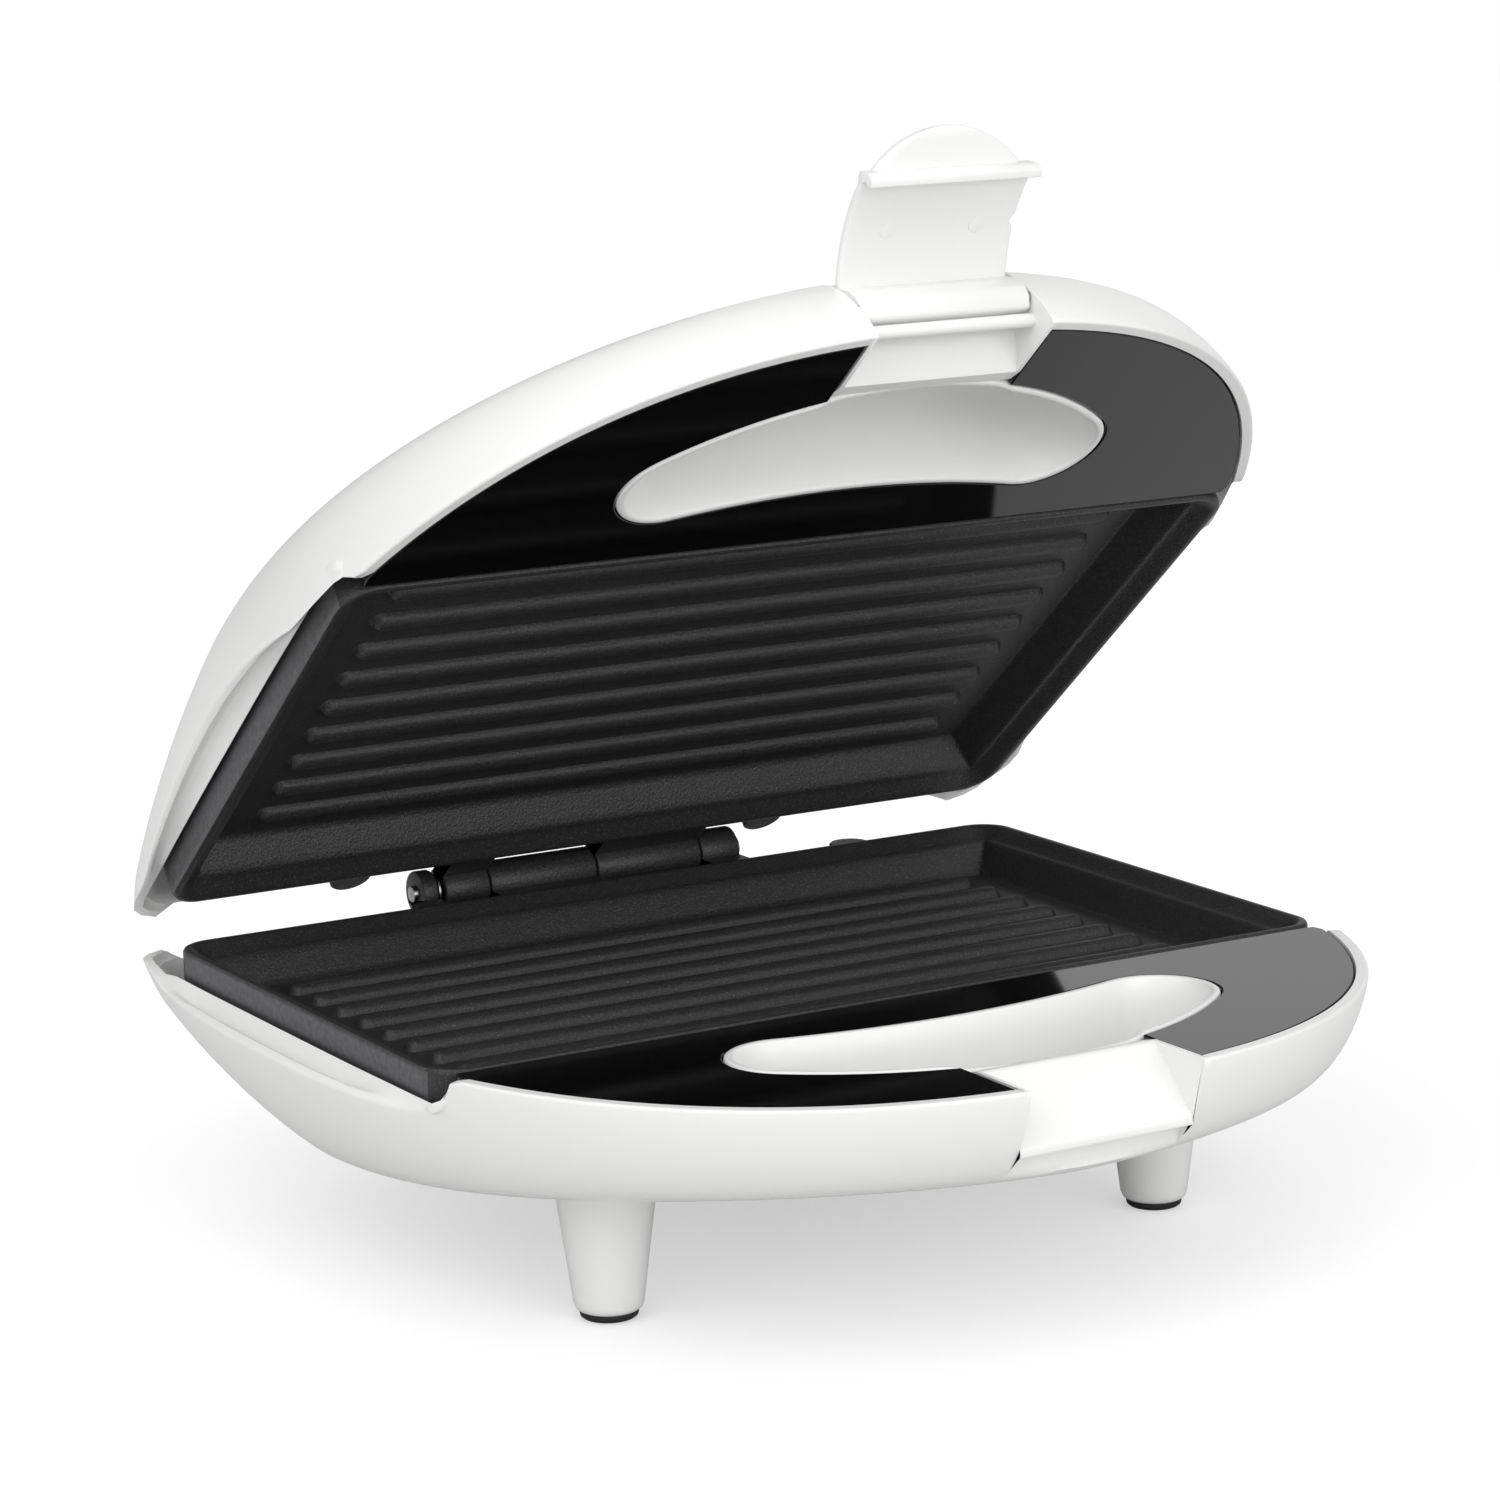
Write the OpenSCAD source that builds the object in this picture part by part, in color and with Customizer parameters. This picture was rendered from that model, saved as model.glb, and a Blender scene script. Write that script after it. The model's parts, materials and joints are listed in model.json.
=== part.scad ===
// Clamshell panini press: two moulded shells, cast ribbed grill plates, a knuckle hinge at the
// back and a snap latch at the front of the lid. All lengths are millimetres.
//
// Each half is drawn in a "half frame": X to the right, Y to the back with 0 at the rear edge of
// the grill plates, and Z growing from the parting plane into that half's own shell.
// in_base(), in_lid() and in_latch() carry a half frame into the object's frame: +Z up, front
// towards -Y, origin on the table under the middle of the object's box at rest.

/* [Housing] */
// Half of the shell's widest width
shell_half_width = 124.8; // [124:0.2:127]
// From the shell's widest line to its front rim
front_reach = 150; // [149:0.5:152]
// Depth of one shell at its deepest point
shell_depth = 46; // [45:0.5:50]
// Wall thickness of the shells
wall = 2.6; // [2.2:0.1:3]
// Height of the parting plane above the table
parting_height = 63; // [60:0.5:70]
// Distance from the origin back to the grill plates' rear edge
plates_back_y = 98.9; // [80:0.1:120]

/* [Grill plates] */
// Width of a grill plate
plate_w = 230; // [226:0.5:230]
// Depth of a grill plate, front to back
plate_d = 140; // [138:0.5:141]
// Corner radius of a grill plate
plate_corner = 9; // [7:0.5:11]
// Number of ribs on a plate
rib_count = 9; // [7:1:9]
// Spacing of the ribs
rib_pitch = 12.3; // [11:0.1:12.5]
// Half of a rib's length
rib_half_length = 94.6; // [90:0.2:96]

/* [Lid and hinge] */
// How far the lid is open at rest, degrees
lid_open = 39.3; // [0:0.1:100]
// Hinge axis behind the plates' rear edge
hinge_back = 12; // [11.5:0.1:12.5]
// Diameter of the hinge pin
hinge_pin_d = 4; // [3.5:0.1:4.5]
// Outer diameter of the hinge knuckles
knuckle_d = 11; // [10:0.5:11.5]

/* [Latch] */
// Width of the latch plate
latch_w = 42; // [38:0.5:43]
// How far the latch is flipped up from its closed position, degrees
latch_open = 134; // [0:1:134]
// Thickness of the latch plate
latch_t = 2.4; // [2:0.1:2.6]

/* [Heating] */
// Diameter of the tubular heating element
heater_d = 6.6; // [6:0.1:7]
// Half of the element loop's width
heater_half_w = 84; // [78:1:86]

/* [Hidden] */
$fn = 48;

eps = 0.01;
rim_gap = 0.3;            // each half stops this far short of the parting plane

// Shell form: a superellipse in plan, a leaning side wall and a crowned bottom
widest_y = -73;           // the widest line of the shell
plan_power = 2.37;        // superellipse exponent
rear_reach = 230.7;       // rear half axis of the superellipse, before the rear wall cuts it
rear_wall_y = 16;         // outside of the rear wall
rear_round = 0.12;        // rounding of the two rear corners, as a share of the half axis
wall_lean = 0.096;        // share of the half axis by which the wall leans in at lean_depth
lean_depth = 40;
wall_power = 1.325;
edge_round = 19.9;        // blend between the wall and the crowned bottom
crown_y = -72.2;          // deepest line
front_fall = 13.9;        // rise of the bottom 100 mm in front of the deepest line
rear_fall = 23.2;         // rise 100 mm behind it
side_fall = 9;            // rise 100 mm to either side
crown_power = 1.5;
plan_steps = 72;
wall_levels = [rim_gap, 1.6, 4, 8, 13, 19, 26];
bottom_shares = [0.9, 0.82, 0.7, 0.55, 0.4, 0.25, 0.12];

// Shell details
side_gap_x = 116;         // inner edge of the shoulders beside a plate
shoulder_h = 6.5;         // depth of that edge: this much of the plate's side is exposed
shoulder_slope = 0.62;    // fall of the shoulder, outwards
shoulder_t = 2.2;
step_y = -139;            // front end of the shoulders
rear_edge_h = 9;          // top edge of the rear wall between the two horns
horn_h = 4.9;             // top of the horns: they clear the other half when the lid swings back
horn_x = 108;             // inner side of the horns at the rear corners
rim_w = 3;                // white rim in front of the bezel
bezel_groove = 0.4;
bezel_h = 0.5;
bezel_t = 2.2;
bezel_back_y = -141;

// Finger recess: a crescent between two arcs, with round ends
recess_end_x = 47;
recess_end_y = -169;
recess_end_r = 12;
recess_front_c = -114.5;
recess_front_r = 84;
recess_back_c = 12;
recess_back_r = 175;
recess_lip = 2;

// Latch channel
notch_half_w = 21.6;
notch_lip = 1;              // white lip between the channel and the bezel
notch_back_y = -198;
bezel_notch_x = notch_half_w + notch_lip + bezel_groove;
strip_front_y = -203;
catch_y = -217.5;
catch_h = 13.8;
catch_under_h = 15.5;
channel_wall = 2.2;

// Legs
leg_front = [72, -132];
leg_rear = [48, -4];
leg_foot_r = 7.45;
leg_draft = 0.137;        // growth of a leg's radius per millimetre upwards
pad_r = 6.45;
pad_t = 2.5;
pad_stem_r = 2;

// Grill plate section
plate_depth = 14.5;
flank_h = 9;               // the plate's sides run straight down to here, then slope inwards
under_inset = 4;
rib_top_h = 8.45;
rib_r = 2.6;
first_rib_y = -21.3;
floor_h = 11;
post_h = 24.5;            // end of the cast screw posts under a plate
post_r = 4.5;
post_xy = [[-88, -36], [88, -36], [-88, -106], [88, -106]];
screw_r = 1.5;
pilot_r = 1.55;

// Hinge: the spans of the knuckles along X
base_knuckles = [[-45.5, -41.6], [-27.1, 2.2], [32.3, 43]];
lid_knuckles = [[-39.5, -27.5], [2.6, 31.9]];
knuckle_arm_t = 4.6;
pin_bore_r = hinge_pin_d / 2 + 0.05;
tab_x = [-46.5, 71.6];    // half-round casting tabs on the plate's rear edge, base side

// Latch geometry in the lid's half frame, latch closed
pivot_y = -217.5;
pivot_h = 10;
barrel_r = 2.3;
latch_pin_r = 1.2;
latch_arc_c = [-184.4, 7.5];
latch_arc_r = 43;
tab_y = -220.1;            // front of the straight finger tab
tab_top_h = -16.6;
tab_r = 23.4;
tab_c_h = -4.1;
bar_y = -215.4;
bar_h = 5.4;
bar_r = 1.5;

// Heating
heater_h = plate_depth + heater_d / 2 + 0.05;
heater_back_y = -30;
heater_front_y = -112;
heater_bend_r = 24;
heater_end_x = 34;
reflector_h = 24.6;
reflector_t = 0.8;
reflector_x = 96;
reflector_y = [-116, -26];

// Cord bushing, square to the leaning rear wall
cord_x = 62;
cord_h = 15.6;
cord_y = 13.5;
cord_tilt = 11.7;
cord_bore_r = 4.6;

// Indicator lamps and the screws' heads
lens_x = [-11, 11];
lens_y = -128;
lens_r = 4;
lamp_boss_x = 20;
head_r = 3;
head_seat_h = 28.4;

// ---------------------------------------------------------------- frames

module in_base() {
  translate([0, plates_back_y, parting_height]) mirror([0, 0, 1]) children();
}

module in_lid() {
  translate([0, plates_back_y + hinge_back, parting_height])
    rotate([-lid_open, 0, 0]) translate([0, -hinge_back, 0]) children();
}

module in_latch() {
  in_lid() translate([0, pivot_y, pivot_h]) rotate([-latch_open, 0, 0])
    translate([0, -pivot_y, -pivot_h]) children();
}

// A flat shape in (Y, Z) pushed along X from x0 to x1
module along_x(x0, x1) {
  translate([x0, 0, 0]) rotate([90, 0, 90]) linear_extrude(x1 - x0) children();
}

// A flat shape in (X, Z) pushed along Y from y0 to y1
module along_y(y0, y1) {
  translate([0, y1, 0]) rotate([90, 0, 0]) linear_extrude(y1 - y0) children();
}

module both_sides() {
  for (s = [-1, 1]) scale([1, 1, 1]) mirror([s < 0 ? 1 : 0, 0, 0]) children();
}

// ---------------------------------------------------------------- shell form

function smooth_min(a, b, s) = min(a, b) - pow(max(s - abs(a - b), 0), 2) / (4 * s);
function unit_radius(t) =
  pow(pow(abs(cos(t)), plan_power) + pow(abs(sin(t)), plan_power), -1 / plan_power);
function ray_x(t) = shell_half_width * unit_radius(t) * cos(t);
function ray_y(t) = (sin(t) < 0 ? front_reach : rear_reach) * unit_radius(t) * sin(t);
function rear_share(t) =
  sin(t) < 0.02 ? 1 : smooth_min(1, (rear_wall_y - widest_y) / ray_y(t), rear_round);
function crown(x, y) = shell_depth
  - (y < crown_y ? front_fall : rear_fall) * pow(abs(y - crown_y) / 100, crown_power)
  - side_fall * pow(abs(x) / 100, crown_power);
function wall_drop(share) = lean_depth * pow((1 - share) / wall_lean, 1 / wall_power);
function wall_share(h) = 1 - wall_lean * pow(h / lean_depth, wall_power);
function plan_point(share, t) =
  let (k = share * rear_share(t)) [k * ray_x(t), widest_y + k * ray_y(t)];
function shell_point(share, t) =
  let (p = plan_point(share, t))
  [p[0], p[1], max(rim_gap, smooth_min(wall_drop(share), crown(p[0], p[1]), edge_round))];

// The inside of the shell: moved in by the wall's thickness, sideways and then upwards
function inner_point(share, t, inset) =
  let (
    rim = plan_point(1, t) - [0, widest_y],
    shrink = 1 - inset / norm(rim),
    p = shell_point(share, t),
    lift = inset * min(1, p[2] / 14)
  )
  [p[0] * shrink, widest_y + (p[1] - widest_y) * shrink, p[2] - lift];

// A closed bowl from rings of equal length, from its flat mouth to the tip of its bottom
module bowl(rings, tip) {
  m = len(rings[0]);
  last = (len(rings) - 1) * m;
  points = concat([for (r = rings) each r], [tip]);
  mouth = [for (j = [0 : m - 1]) j];
  sides = [for (i = [0 : len(rings) - 2], j = [0 : m - 1])
    let (a = i * m + j, b = a + m, k = (j + 1) % m, c = i * m + m + k, d = i * m + k)
    each [[a, b, c], [a, c, d]]];
  fan = [for (j = [0 : m - 1]) [last + j, len(points) - 1, last + (j + 1) % m]];
  polyhedron(concat(points), concat([mouth], sides, fan), convexity = 6);
}

angles = [for (j = [0 : plan_steps - 1]) 360 * j / plan_steps];
shares = concat([for (h = wall_levels) wall_share(h)], bottom_shares);

module shell_outside() {
  rings = [for (i = [0 : len(shares) - 1])
    [for (t = angles) let (p = shell_point(shares[i], t)) i == 0 ? [p[0], p[1], rim_gap] : p]];
  bowl(rings, [0, widest_y, crown(0, widest_y)]);
}

module shell_inside() {
  rings = [for (i = [0 : len(shares) - 1])
    [for (t = angles) let (p = inner_point(shares[i], t, wall)) i == 0 ? [p[0], p[1], -1] : p]];
  bowl(rings, [0, widest_y, crown(0, widest_y) - wall]);
}

// Plan outline of the shell, moved in by an inset
module plan_outline(inset) {
  polygon([for (t = angles) let (p = plan_point(1, t), r = p - [0, widest_y])
    [0, widest_y] + r * (1 - inset / norm(r))]);
}

// ---------------------------------------------------------------- shell details

// Crescent of the finger recess, grown by d
module crescent(d) {
  difference() {
    intersection() {
      translate([0, recess_front_c]) circle(recess_front_r + d, $fn = 120);
      polygon([[-55.5, -178.6], [-44.2, -157], [44.2, -157], [55.5, -178.6], [50, -215], [-50, -215]]);
    }
    translate([0, recess_back_c]) circle(recess_back_r - d, $fn = 180);
  }
  for (s = [-1, 1]) translate([s * recess_end_x, recess_end_y]) circle(recess_end_r + d);
}

// The shelf that leads from the shell's wall to the side of the plate
module shoulder_shelf() {
  both_sides() along_y(step_y - 1.5, rear_wall_y - 4)
    polygon([[side_gap_x, shoulder_h], [125, shoulder_h + 9 * shoulder_slope],
      [125, shoulder_h + 9 * shoulder_slope + shoulder_t], [side_gap_x, shoulder_h + shoulder_t]]);
}

// What is cut away above the shoulders, with the curved step at their front ends
module shoulder_cut() {
  both_sides() intersection() {
    along_y(-150, 40) polygon([[side_gap_x - 0.5, -2], [side_gap_x - 0.5, shoulder_h],
      [side_gap_x, shoulder_h], [130, shoulder_h + 14 * shoulder_slope], [130, -2]]);
    along_x(100, 140) polygon([[step_y - 4.5, -2], [step_y - 4.5, 1.6], [step_y - 3.6, 3.2],
      [step_y - 1.6, 4.6], [step_y, 6.2], [step_y + 0.8, 9], [step_y + 1.2, 20],
      [40, 20], [40, -2]]);
  }
}

// The low middle of the rear wall
module rear_cut() {
  translate([-horn_x, -8, -2]) cube([2 * horn_x, 40, rear_edge_h + 2]);
  translate([-130, 4, -2]) cube([260, 30, horn_h + 2]);
}

// Room round the plate, which thins the skin a little at the plate's corners
module plate_room() {
  hull() {
    plate_layer(-0.4, -1);
    plate_layer(-0.4, flank_h + 0.2);
    plate_layer(under_inset - 0.5, plate_depth + 0.3);
  }
}

// Room for the bezel's edge beside the channel
module bezel_seat() {
  both_sides() translate([notch_half_w + notch_lip, -240, -1]) cube([6, 60, 1 + bezel_h + bezel_t]);
}

// The recess under the latch, cut through the front wall
module channel_cut() {
  along_x(-notch_half_w, notch_half_w)
    polygon([[notch_back_y, -2], [notch_back_y, 40], [-240, 40], [-240, -2]]);
}

// Cheeks, sloping back wall and catch under the latch, before trimming to the shell's form
module catch_block() {
  t = channel_wall;
  along_x(-notch_half_w - t, notch_half_w + t) polygon([
    [notch_back_y + 1, rim_gap], [strip_front_y, rim_gap], [catch_y + 1, catch_h - 1],
    [catch_y, catch_h], [catch_y, catch_under_h], [catch_y + 4, catch_under_h],
    [catch_y + 4, catch_under_h + 4.6], [catch_y + 7, 40], [catch_y + 9.6, 40],
    [catch_y + 6.4, catch_under_h + 4], [catch_y + 6.4, catch_under_h - 2],
    [strip_front_y + 1.2, rim_gap + 2.4], [notch_back_y + 1, rim_gap + 2.4]]);
}

module channel_cheeks(depth) {
  both_sides() translate([notch_half_w, -232, rim_gap])
    cube([channel_wall, 232 + notch_back_y + 1, depth]);
}

// Ribs from the skin up to the underside of the bezel
module bezel_ribs() {
  both_sides() for (x = [40, 66, 92]) translate([x - 0.8, x > 80 ? -176 : -212, bezel_h + bezel_t])
    cube([1.6, x > 80 ? 28 : (x > 50 ? 58 : 24), 45]);
}

module bezel_sockets() {
  both_sides() for (p = [[74, -156], [30, -208]])
    translate([p[0], p[1], bezel_h + bezel_t]) cylinder(r = 3.2, h = 40);
}

module bezel_socket_bores() {
  both_sides() for (p = [[74, -156], [30, -208]])
    translate([p[0], p[1], 0]) cylinder(r = 1.6, h = 12, $fn = 24);
}

// A pillar that carries a plate post, from the skin to the reflector
module plate_pillars() {
  for (p = post_xy) translate([p[0], p[1], reflector_h + reflector_t]) cylinder(r = 5, h = 40);
}

module shell_common() {
  difference() {
    union() {
      difference() {
        shell_outside();
        difference() {
          shell_inside();
          shoulder_shelf();
        }
        channel_cut();
      }
      intersection() {
        shell_outside();
        union() {
          translate([0, 0, rim_gap]) linear_extrude(60) difference() {
            crescent(recess_lip);
            crescent(0);
          }
          difference() {
            union() {
              bezel_ribs();
              bezel_sockets();
            }
            linear_extrude(60) crescent(recess_lip / 2);
          }
          plate_pillars();
          translate([-118, bezel_back_y - 3, bezel_h + bezel_t]) cube([236, 2, 60]);
        }
      }
    }
    shoulder_cut();
    rear_cut();
    plate_room();
    bezel_socket_bores();
    translate([0, 0, -1]) linear_extrude(8) intersection() {
      crescent(0);
      translate([-notch_half_w, -230]) square([2 * notch_half_w, 100]);
    }
    for (p = post_xy) translate([p[0], p[1], 0]) {
      cylinder(r = 1.8, h = 60, $fn = 24);
      translate([0, 0, head_seat_h]) cylinder(r = head_r + 0.4, h = 40);
    }
  }
}

module at_cord_hole() {
  translate([cord_x, cord_y, cord_h]) rotate([cord_tilt - 90, 0, 0]) children();
}

module leg(p) {
  tip_h = parting_height - pad_t;
  top_h = 22;
  translate([p[0], p[1], top_h]) rotate_extrude()
    polygon([[0, 0], [leg_foot_r + leg_draft * (tip_h - top_h - 3), 0], [leg_foot_r + 0.4, tip_h - top_h - 3],
      [leg_foot_r - 0.1, tip_h - top_h - 1.2], [leg_foot_r - 0.9, tip_h - top_h], [0, tip_h - top_h]]);
}

module base_shell() {
  color("#f4f4f2") in_base() difference() {
    union() {
      shell_common();
      intersection() {
        shell_outside();
        union() {
          difference() {
            union() {
              catch_block();
              channel_cheeks(40);
            }
            linear_extrude(60) crescent(recess_lip / 2);
            bezel_seat();
          }
          translate([-18, -8, 27]) cube([36, 12, 20]);
        }
      }
      difference() {
        for (s = [-1, 1], p = [leg_front, leg_rear]) leg([s * p[0], p[1]]);
        shell_inside();
      }
    }
    // holes for the pads' stems, the plate screws' heads, the cord bushing and the clamp's screws
    for (s = [-1, 1], p = [leg_front, leg_rear])
      translate([s * p[0], p[1], parting_height - 8]) cylinder(r = pad_stem_r + 0.05, h = 9, $fn = 24);
    at_cord_hole() {
      translate([0, 0, -8]) cylinder(r = cord_bore_r, h = 14);
      translate([0, 0, 0.3]) cylinder(r = 6.3, h = 6);
      translate([0, 0, -8.1]) cylinder(r = 5.7, h = 5);
    }
    for (s = [-1, 1]) translate([s * 12, -2, 20]) cylinder(r = pilot_r, h = 14, $fn = 24);
  }
}

module lid_shell() {
  color("#f4f4f2") in_lid() difference() {
    union() {
      shell_common();
      intersection() {
        shell_outside();
        difference() {
          union() {
            channel_cheeks(40);
            along_x(-notch_half_w - channel_wall, notch_half_w + channel_wall) polygon([
              [notch_back_y + 1, rim_gap], [strip_front_y, rim_gap], [-208, 5.4], [-209.6, 12],
              [-208.4, 18.6], [-206, 40], [-203.6, 40], [-206, 18.4], [-207.2, 12.6],
              [-205.8, 6.6], [-202, 2.7], [notch_back_y + 1, 2.7]]);
            translate([-notch_half_w - 1, bar_y, bar_h]) rotate([0, 90, 0])
              cylinder(r = bar_r, h = 2 * notch_half_w + 2, $fn = 32);
            both_sides() translate([notch_half_w, -224, 3]) cube([5, 13, 14]);
          }
          linear_extrude(60) crescent(recess_lip / 2);
          bezel_seat();
        }
      }
      intersection() {
        shell_outside();
        both_sides() translate([lamp_boss_x, lens_y, 28.6]) cylinder(r = 2.6, h = 20);
      }
    }
    both_sides() translate([lamp_boss_x, lens_y, 28]) cylinder(r = 1.2, h = 7, $fn = 24);
    translate([-notch_half_w - 4.2, pivot_y, pivot_h]) rotate([0, 90, 0])
      cylinder(r = latch_pin_r + 0.05, h = 2 * notch_half_w + 8.4, $fn = 24);
    for (x = lens_x) translate([x, lens_y, 0]) {
      translate([0, 0, 20]) cylinder(r = lens_r + 0.1, h = 30);
      translate([0, 0, crown(x, lens_y) + 0.15]) cylinder(r = lens_r + 1.1, h = 9);
    }
  }
}

module foot_pads() {
  color("#1b1b1c") in_base() for (s = [-1, 1], p = [leg_front, leg_rear])
    translate([s * p[0], p[1], parting_height - pad_t - 5]) rotate_extrude() polygon([[0, 0],
      [pad_stem_r, 0], [pad_stem_r, 5], [pad_r, 5], [pad_r, 5 + pad_t - 0.8], [pad_r - 0.8, 5 + pad_t],
      [0, 5 + pad_t]]);
}

// ---------------------------------------------------------------- bezels

module bezel() {
  translate([0, 0, bezel_h]) linear_extrude(bezel_t) difference() {
    intersection() {
      plan_outline(rim_w + bezel_groove);
      translate([-150, -260]) square([300, 260 + bezel_back_y]);
    }
    crescent(recess_lip + bezel_groove);
    translate([-bezel_notch_x, -260]) square([2 * bezel_notch_x, 90]);
  }
  both_sides() for (p = [[74, -156], [30, -208]])
    translate([p[0], p[1], bezel_h + bezel_t]) cylinder(r = 1.5, h = 6, $fn = 24);
}

module base_bezel() { color("#0c0c0d") in_base() bezel(); }
module lid_bezel() { color("#0c0c0d") in_lid() bezel(); }

// ---------------------------------------------------------------- grill plates

// Round-cornered rectangle of the plate's outline, moved in by an inset
module plate_outline(inset) {
  r = max(1.5, plate_corner - inset * 0.6);
  w = plate_w - 2 * inset;
  d = plate_d - 2 * inset;
  translate([-w / 2, -plate_d + inset]) {
    translate([r, 0]) square([w - 2 * r, d]);
    translate([0, r]) square([w, d - 2 * r]);
    for (x = [r, w - r], y = [r, d - r]) translate([x, y]) circle(r);
  }
}

module plate_layer(inset, h) {
  translate([0, 0, h]) linear_extrude(eps) plate_outline(inset, $fn = 32);
}

module plate_tray() {
  difference() {
    union() {
      translate([0, 0, rim_gap]) linear_extrude(flank_h - rim_gap) plate_outline(0);
      hull() {
        plate_layer(0.1, flank_h - 1);
        plate_layer(under_inset, plate_depth - eps);
      }
    }
    hull() {
      plate_layer(1.6, -0.5);
      plate_layer(5.8, 3.6);
    }
    hull() {
      plate_layer(6.6, 3.5);
      plate_layer(12, floor_h);
    }
  }
  for (i = [0 : rib_count - 1]) translate([0, first_rib_y - i * rib_pitch, rib_top_h + rib_r]) {
    rotate([0, 90, 0]) cylinder(r = rib_r, h = 2 * rib_half_length - 2 * rib_r, center = true, $fn = 32);
    for (s = [-1, 1]) translate([s * (rib_half_length - rib_r), 0, 0]) sphere(r = rib_r, $fn = 32);
  }
}

// Posts and clamp bosses on the underside
module plate_posts() {
  for (p = post_xy) translate([p[0], p[1], plate_depth - 1]) cylinder(r = post_r, h = post_h - plate_depth + 1);
  for (x = clamp_x) translate([x, clamp_boss_y, plate_depth - 1]) cylinder(r = 3.5, h = 8.5);
}

clamp_x = [-50, 50];
clamp_boss_y = -71;

// One side's knuckles with their arms; spans is a list of [from, to] along X
module knuckles(spans) {
  for (s = spans) {
    translate([s[0], hinge_back, 0]) rotate([0, 90, 0]) cylinder(r = knuckle_d / 2, h = s[1] - s[0]);
    translate([s[0], -1, 0.9]) cube([s[1] - s[0], hinge_back + 1, knuckle_arm_t]);
  }
}

module knuckle_bores(spans) {
  for (s = spans) translate([s[0] - 1, hinge_back, 0]) rotate([0, 90, 0])
    cylinder(r = pin_bore_r, h = s[1] - s[0] + 2);
}

module casting_tabs(xs) {
  for (x = xs) translate([x, -1, rim_gap]) intersection() {
    cylinder(r = 5.2, h = 3.6);
    translate([-6, 0, 0]) cube([12, 8, 4]);
  }
}

module grill_plate(spans, xs) {
  difference() {
    union() {
      plate_tray();
      plate_posts();
      knuckles(spans);
      casting_tabs(xs);
    }
    knuckle_bores(spans);
    for (p = post_xy) translate([p[0], p[1], plate_depth - 1]) cylinder(r = pilot_r, h = 12, $fn = 24);
    for (x = clamp_x) translate([x, clamp_boss_y, plate_depth - 0.5]) cylinder(r = pilot_r, h = 9, $fn = 24);
  }
}

module base_plate() { color("#2c2c2e") in_base() grill_plate(base_knuckles, tab_x); }
module lid_plate() { color("#2c2c2e") in_lid() grill_plate(lid_knuckles, [-66.5, 48]); }

// ---------------------------------------------------------------- heating

// Tubular element: a round-cornered loop, open at the back
module heater() {
  r = heater_d / 2;
  w = heater_half_w;
  b = heater_bend_r;
  color("#6f6f70") translate([0, 0, heater_h]) {
    translate([0, heater_front_y, 0]) rotate([0, 90, 0]) cylinder(r = r, h = 2 * (w - b), center = true);
    both_sides() {
      translate([w, heater_front_y + b, 0]) rotate([-90, 0, 0])
        cylinder(r = r, h = heater_back_y - heater_front_y - 2 * b);
      translate([heater_end_x, heater_back_y, 0]) rotate([0, 90, 0]) cylinder(r = r, h = w - b - heater_end_x);
      translate([w - b, heater_front_y + b, 0]) rotate([0, 0, -90])
        rotate_extrude(angle = 90) translate([b, 0]) circle(r);
      translate([w - b, heater_back_y - b, 0]) rotate_extrude(angle = 90) translate([b, 0]) circle(r);
      translate([heater_end_x - 9, heater_back_y, 0]) rotate([0, 90, 0]) cylinder(r = 1.4, h = 9, $fn = 24);
      translate([heater_end_x - 15, heater_back_y - 3.2, -0.4]) cube([6.2, 6.4, 0.8]);
    }
  }
}

module base_heater() { in_base() heater(); }
module lid_heater() { in_lid() heater(); }

// Steel straps screwed to the bosses, reaching over the element front and back
module heater_clamps() {
  top = plate_depth + heater_d + 0.9;
  color("#a8aaac") for (x = clamp_x) {
    difference() {
      translate([x - 6, heater_front_y - 5, top]) cube([12, heater_back_y - heater_front_y + 10, 1]);
      translate([x, clamp_boss_y, 0]) cylinder(r = 1.8, h = 40, $fn = 24);
    }
    translate([x, clamp_boss_y, top + 1]) cylinder(r = 3, h = 1.6);
    translate([x, clamp_boss_y, plate_depth + 0.5]) cylinder(r = screw_r, h = top + 1 - plate_depth, $fn = 24);
  }
}

module base_heater_clamps() { in_base() heater_clamps(); }
module lid_heater_clamps() { in_lid() heater_clamps(); }

module reflector() {
  color("#c9cbcd") difference() {
    union() {
      translate([-reflector_x, reflector_y[0], reflector_h])
        cube([2 * reflector_x, reflector_y[1] - reflector_y[0], reflector_t]);
    }
    for (p = post_xy) translate([p[0], p[1], 0]) cylinder(r = 1.8, h = 40, $fn = 24);
    for (x = clamp_x) translate([x, clamp_boss_y, 0]) cylinder(r = 4.5, h = 40);
    translate([-20, -90, 0]) cube([40, 40, 40]);
    both_sides() translate([10, -42, 0]) cube([30, 26, 40]);
  }
}

module base_reflector() { in_base() reflector(); }
module lid_reflector() { in_lid() reflector(); }

// Screws through the shell's pillars into the plate's posts
module plate_screws(head_h) {
  color("#b9babb") for (p = post_xy) translate([p[0], p[1], 0]) {
    translate([0, 0, plate_depth + 0.5]) cylinder(r = screw_r, h = head_h - plate_depth - 0.5, $fn = 24);
    difference() {
      translate([0, 0, head_h]) cylinder(r = 3, h = 2.2);
      translate([-0.5, -2.2, head_h + 1.4]) cube([1, 4.4, 2]);
      translate([-2.2, -0.5, head_h + 1.4]) cube([4.4, 1, 2]);
    }
  }
}

module base_plate_screws() { in_base() plate_screws(head_seat_h); }
module lid_plate_screws() { in_lid() plate_screws(head_seat_h); }

// Plugs that close the screw holes in the lid, flush with its skin
module lid_plugs() {
  color("#f4f4f2") in_lid() intersection() {
    shell_outside();
    for (p = post_xy) translate([p[0], p[1], head_seat_h + 2.6]) cylinder(r = head_r + 0.38, h = 20);
  }
}

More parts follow.
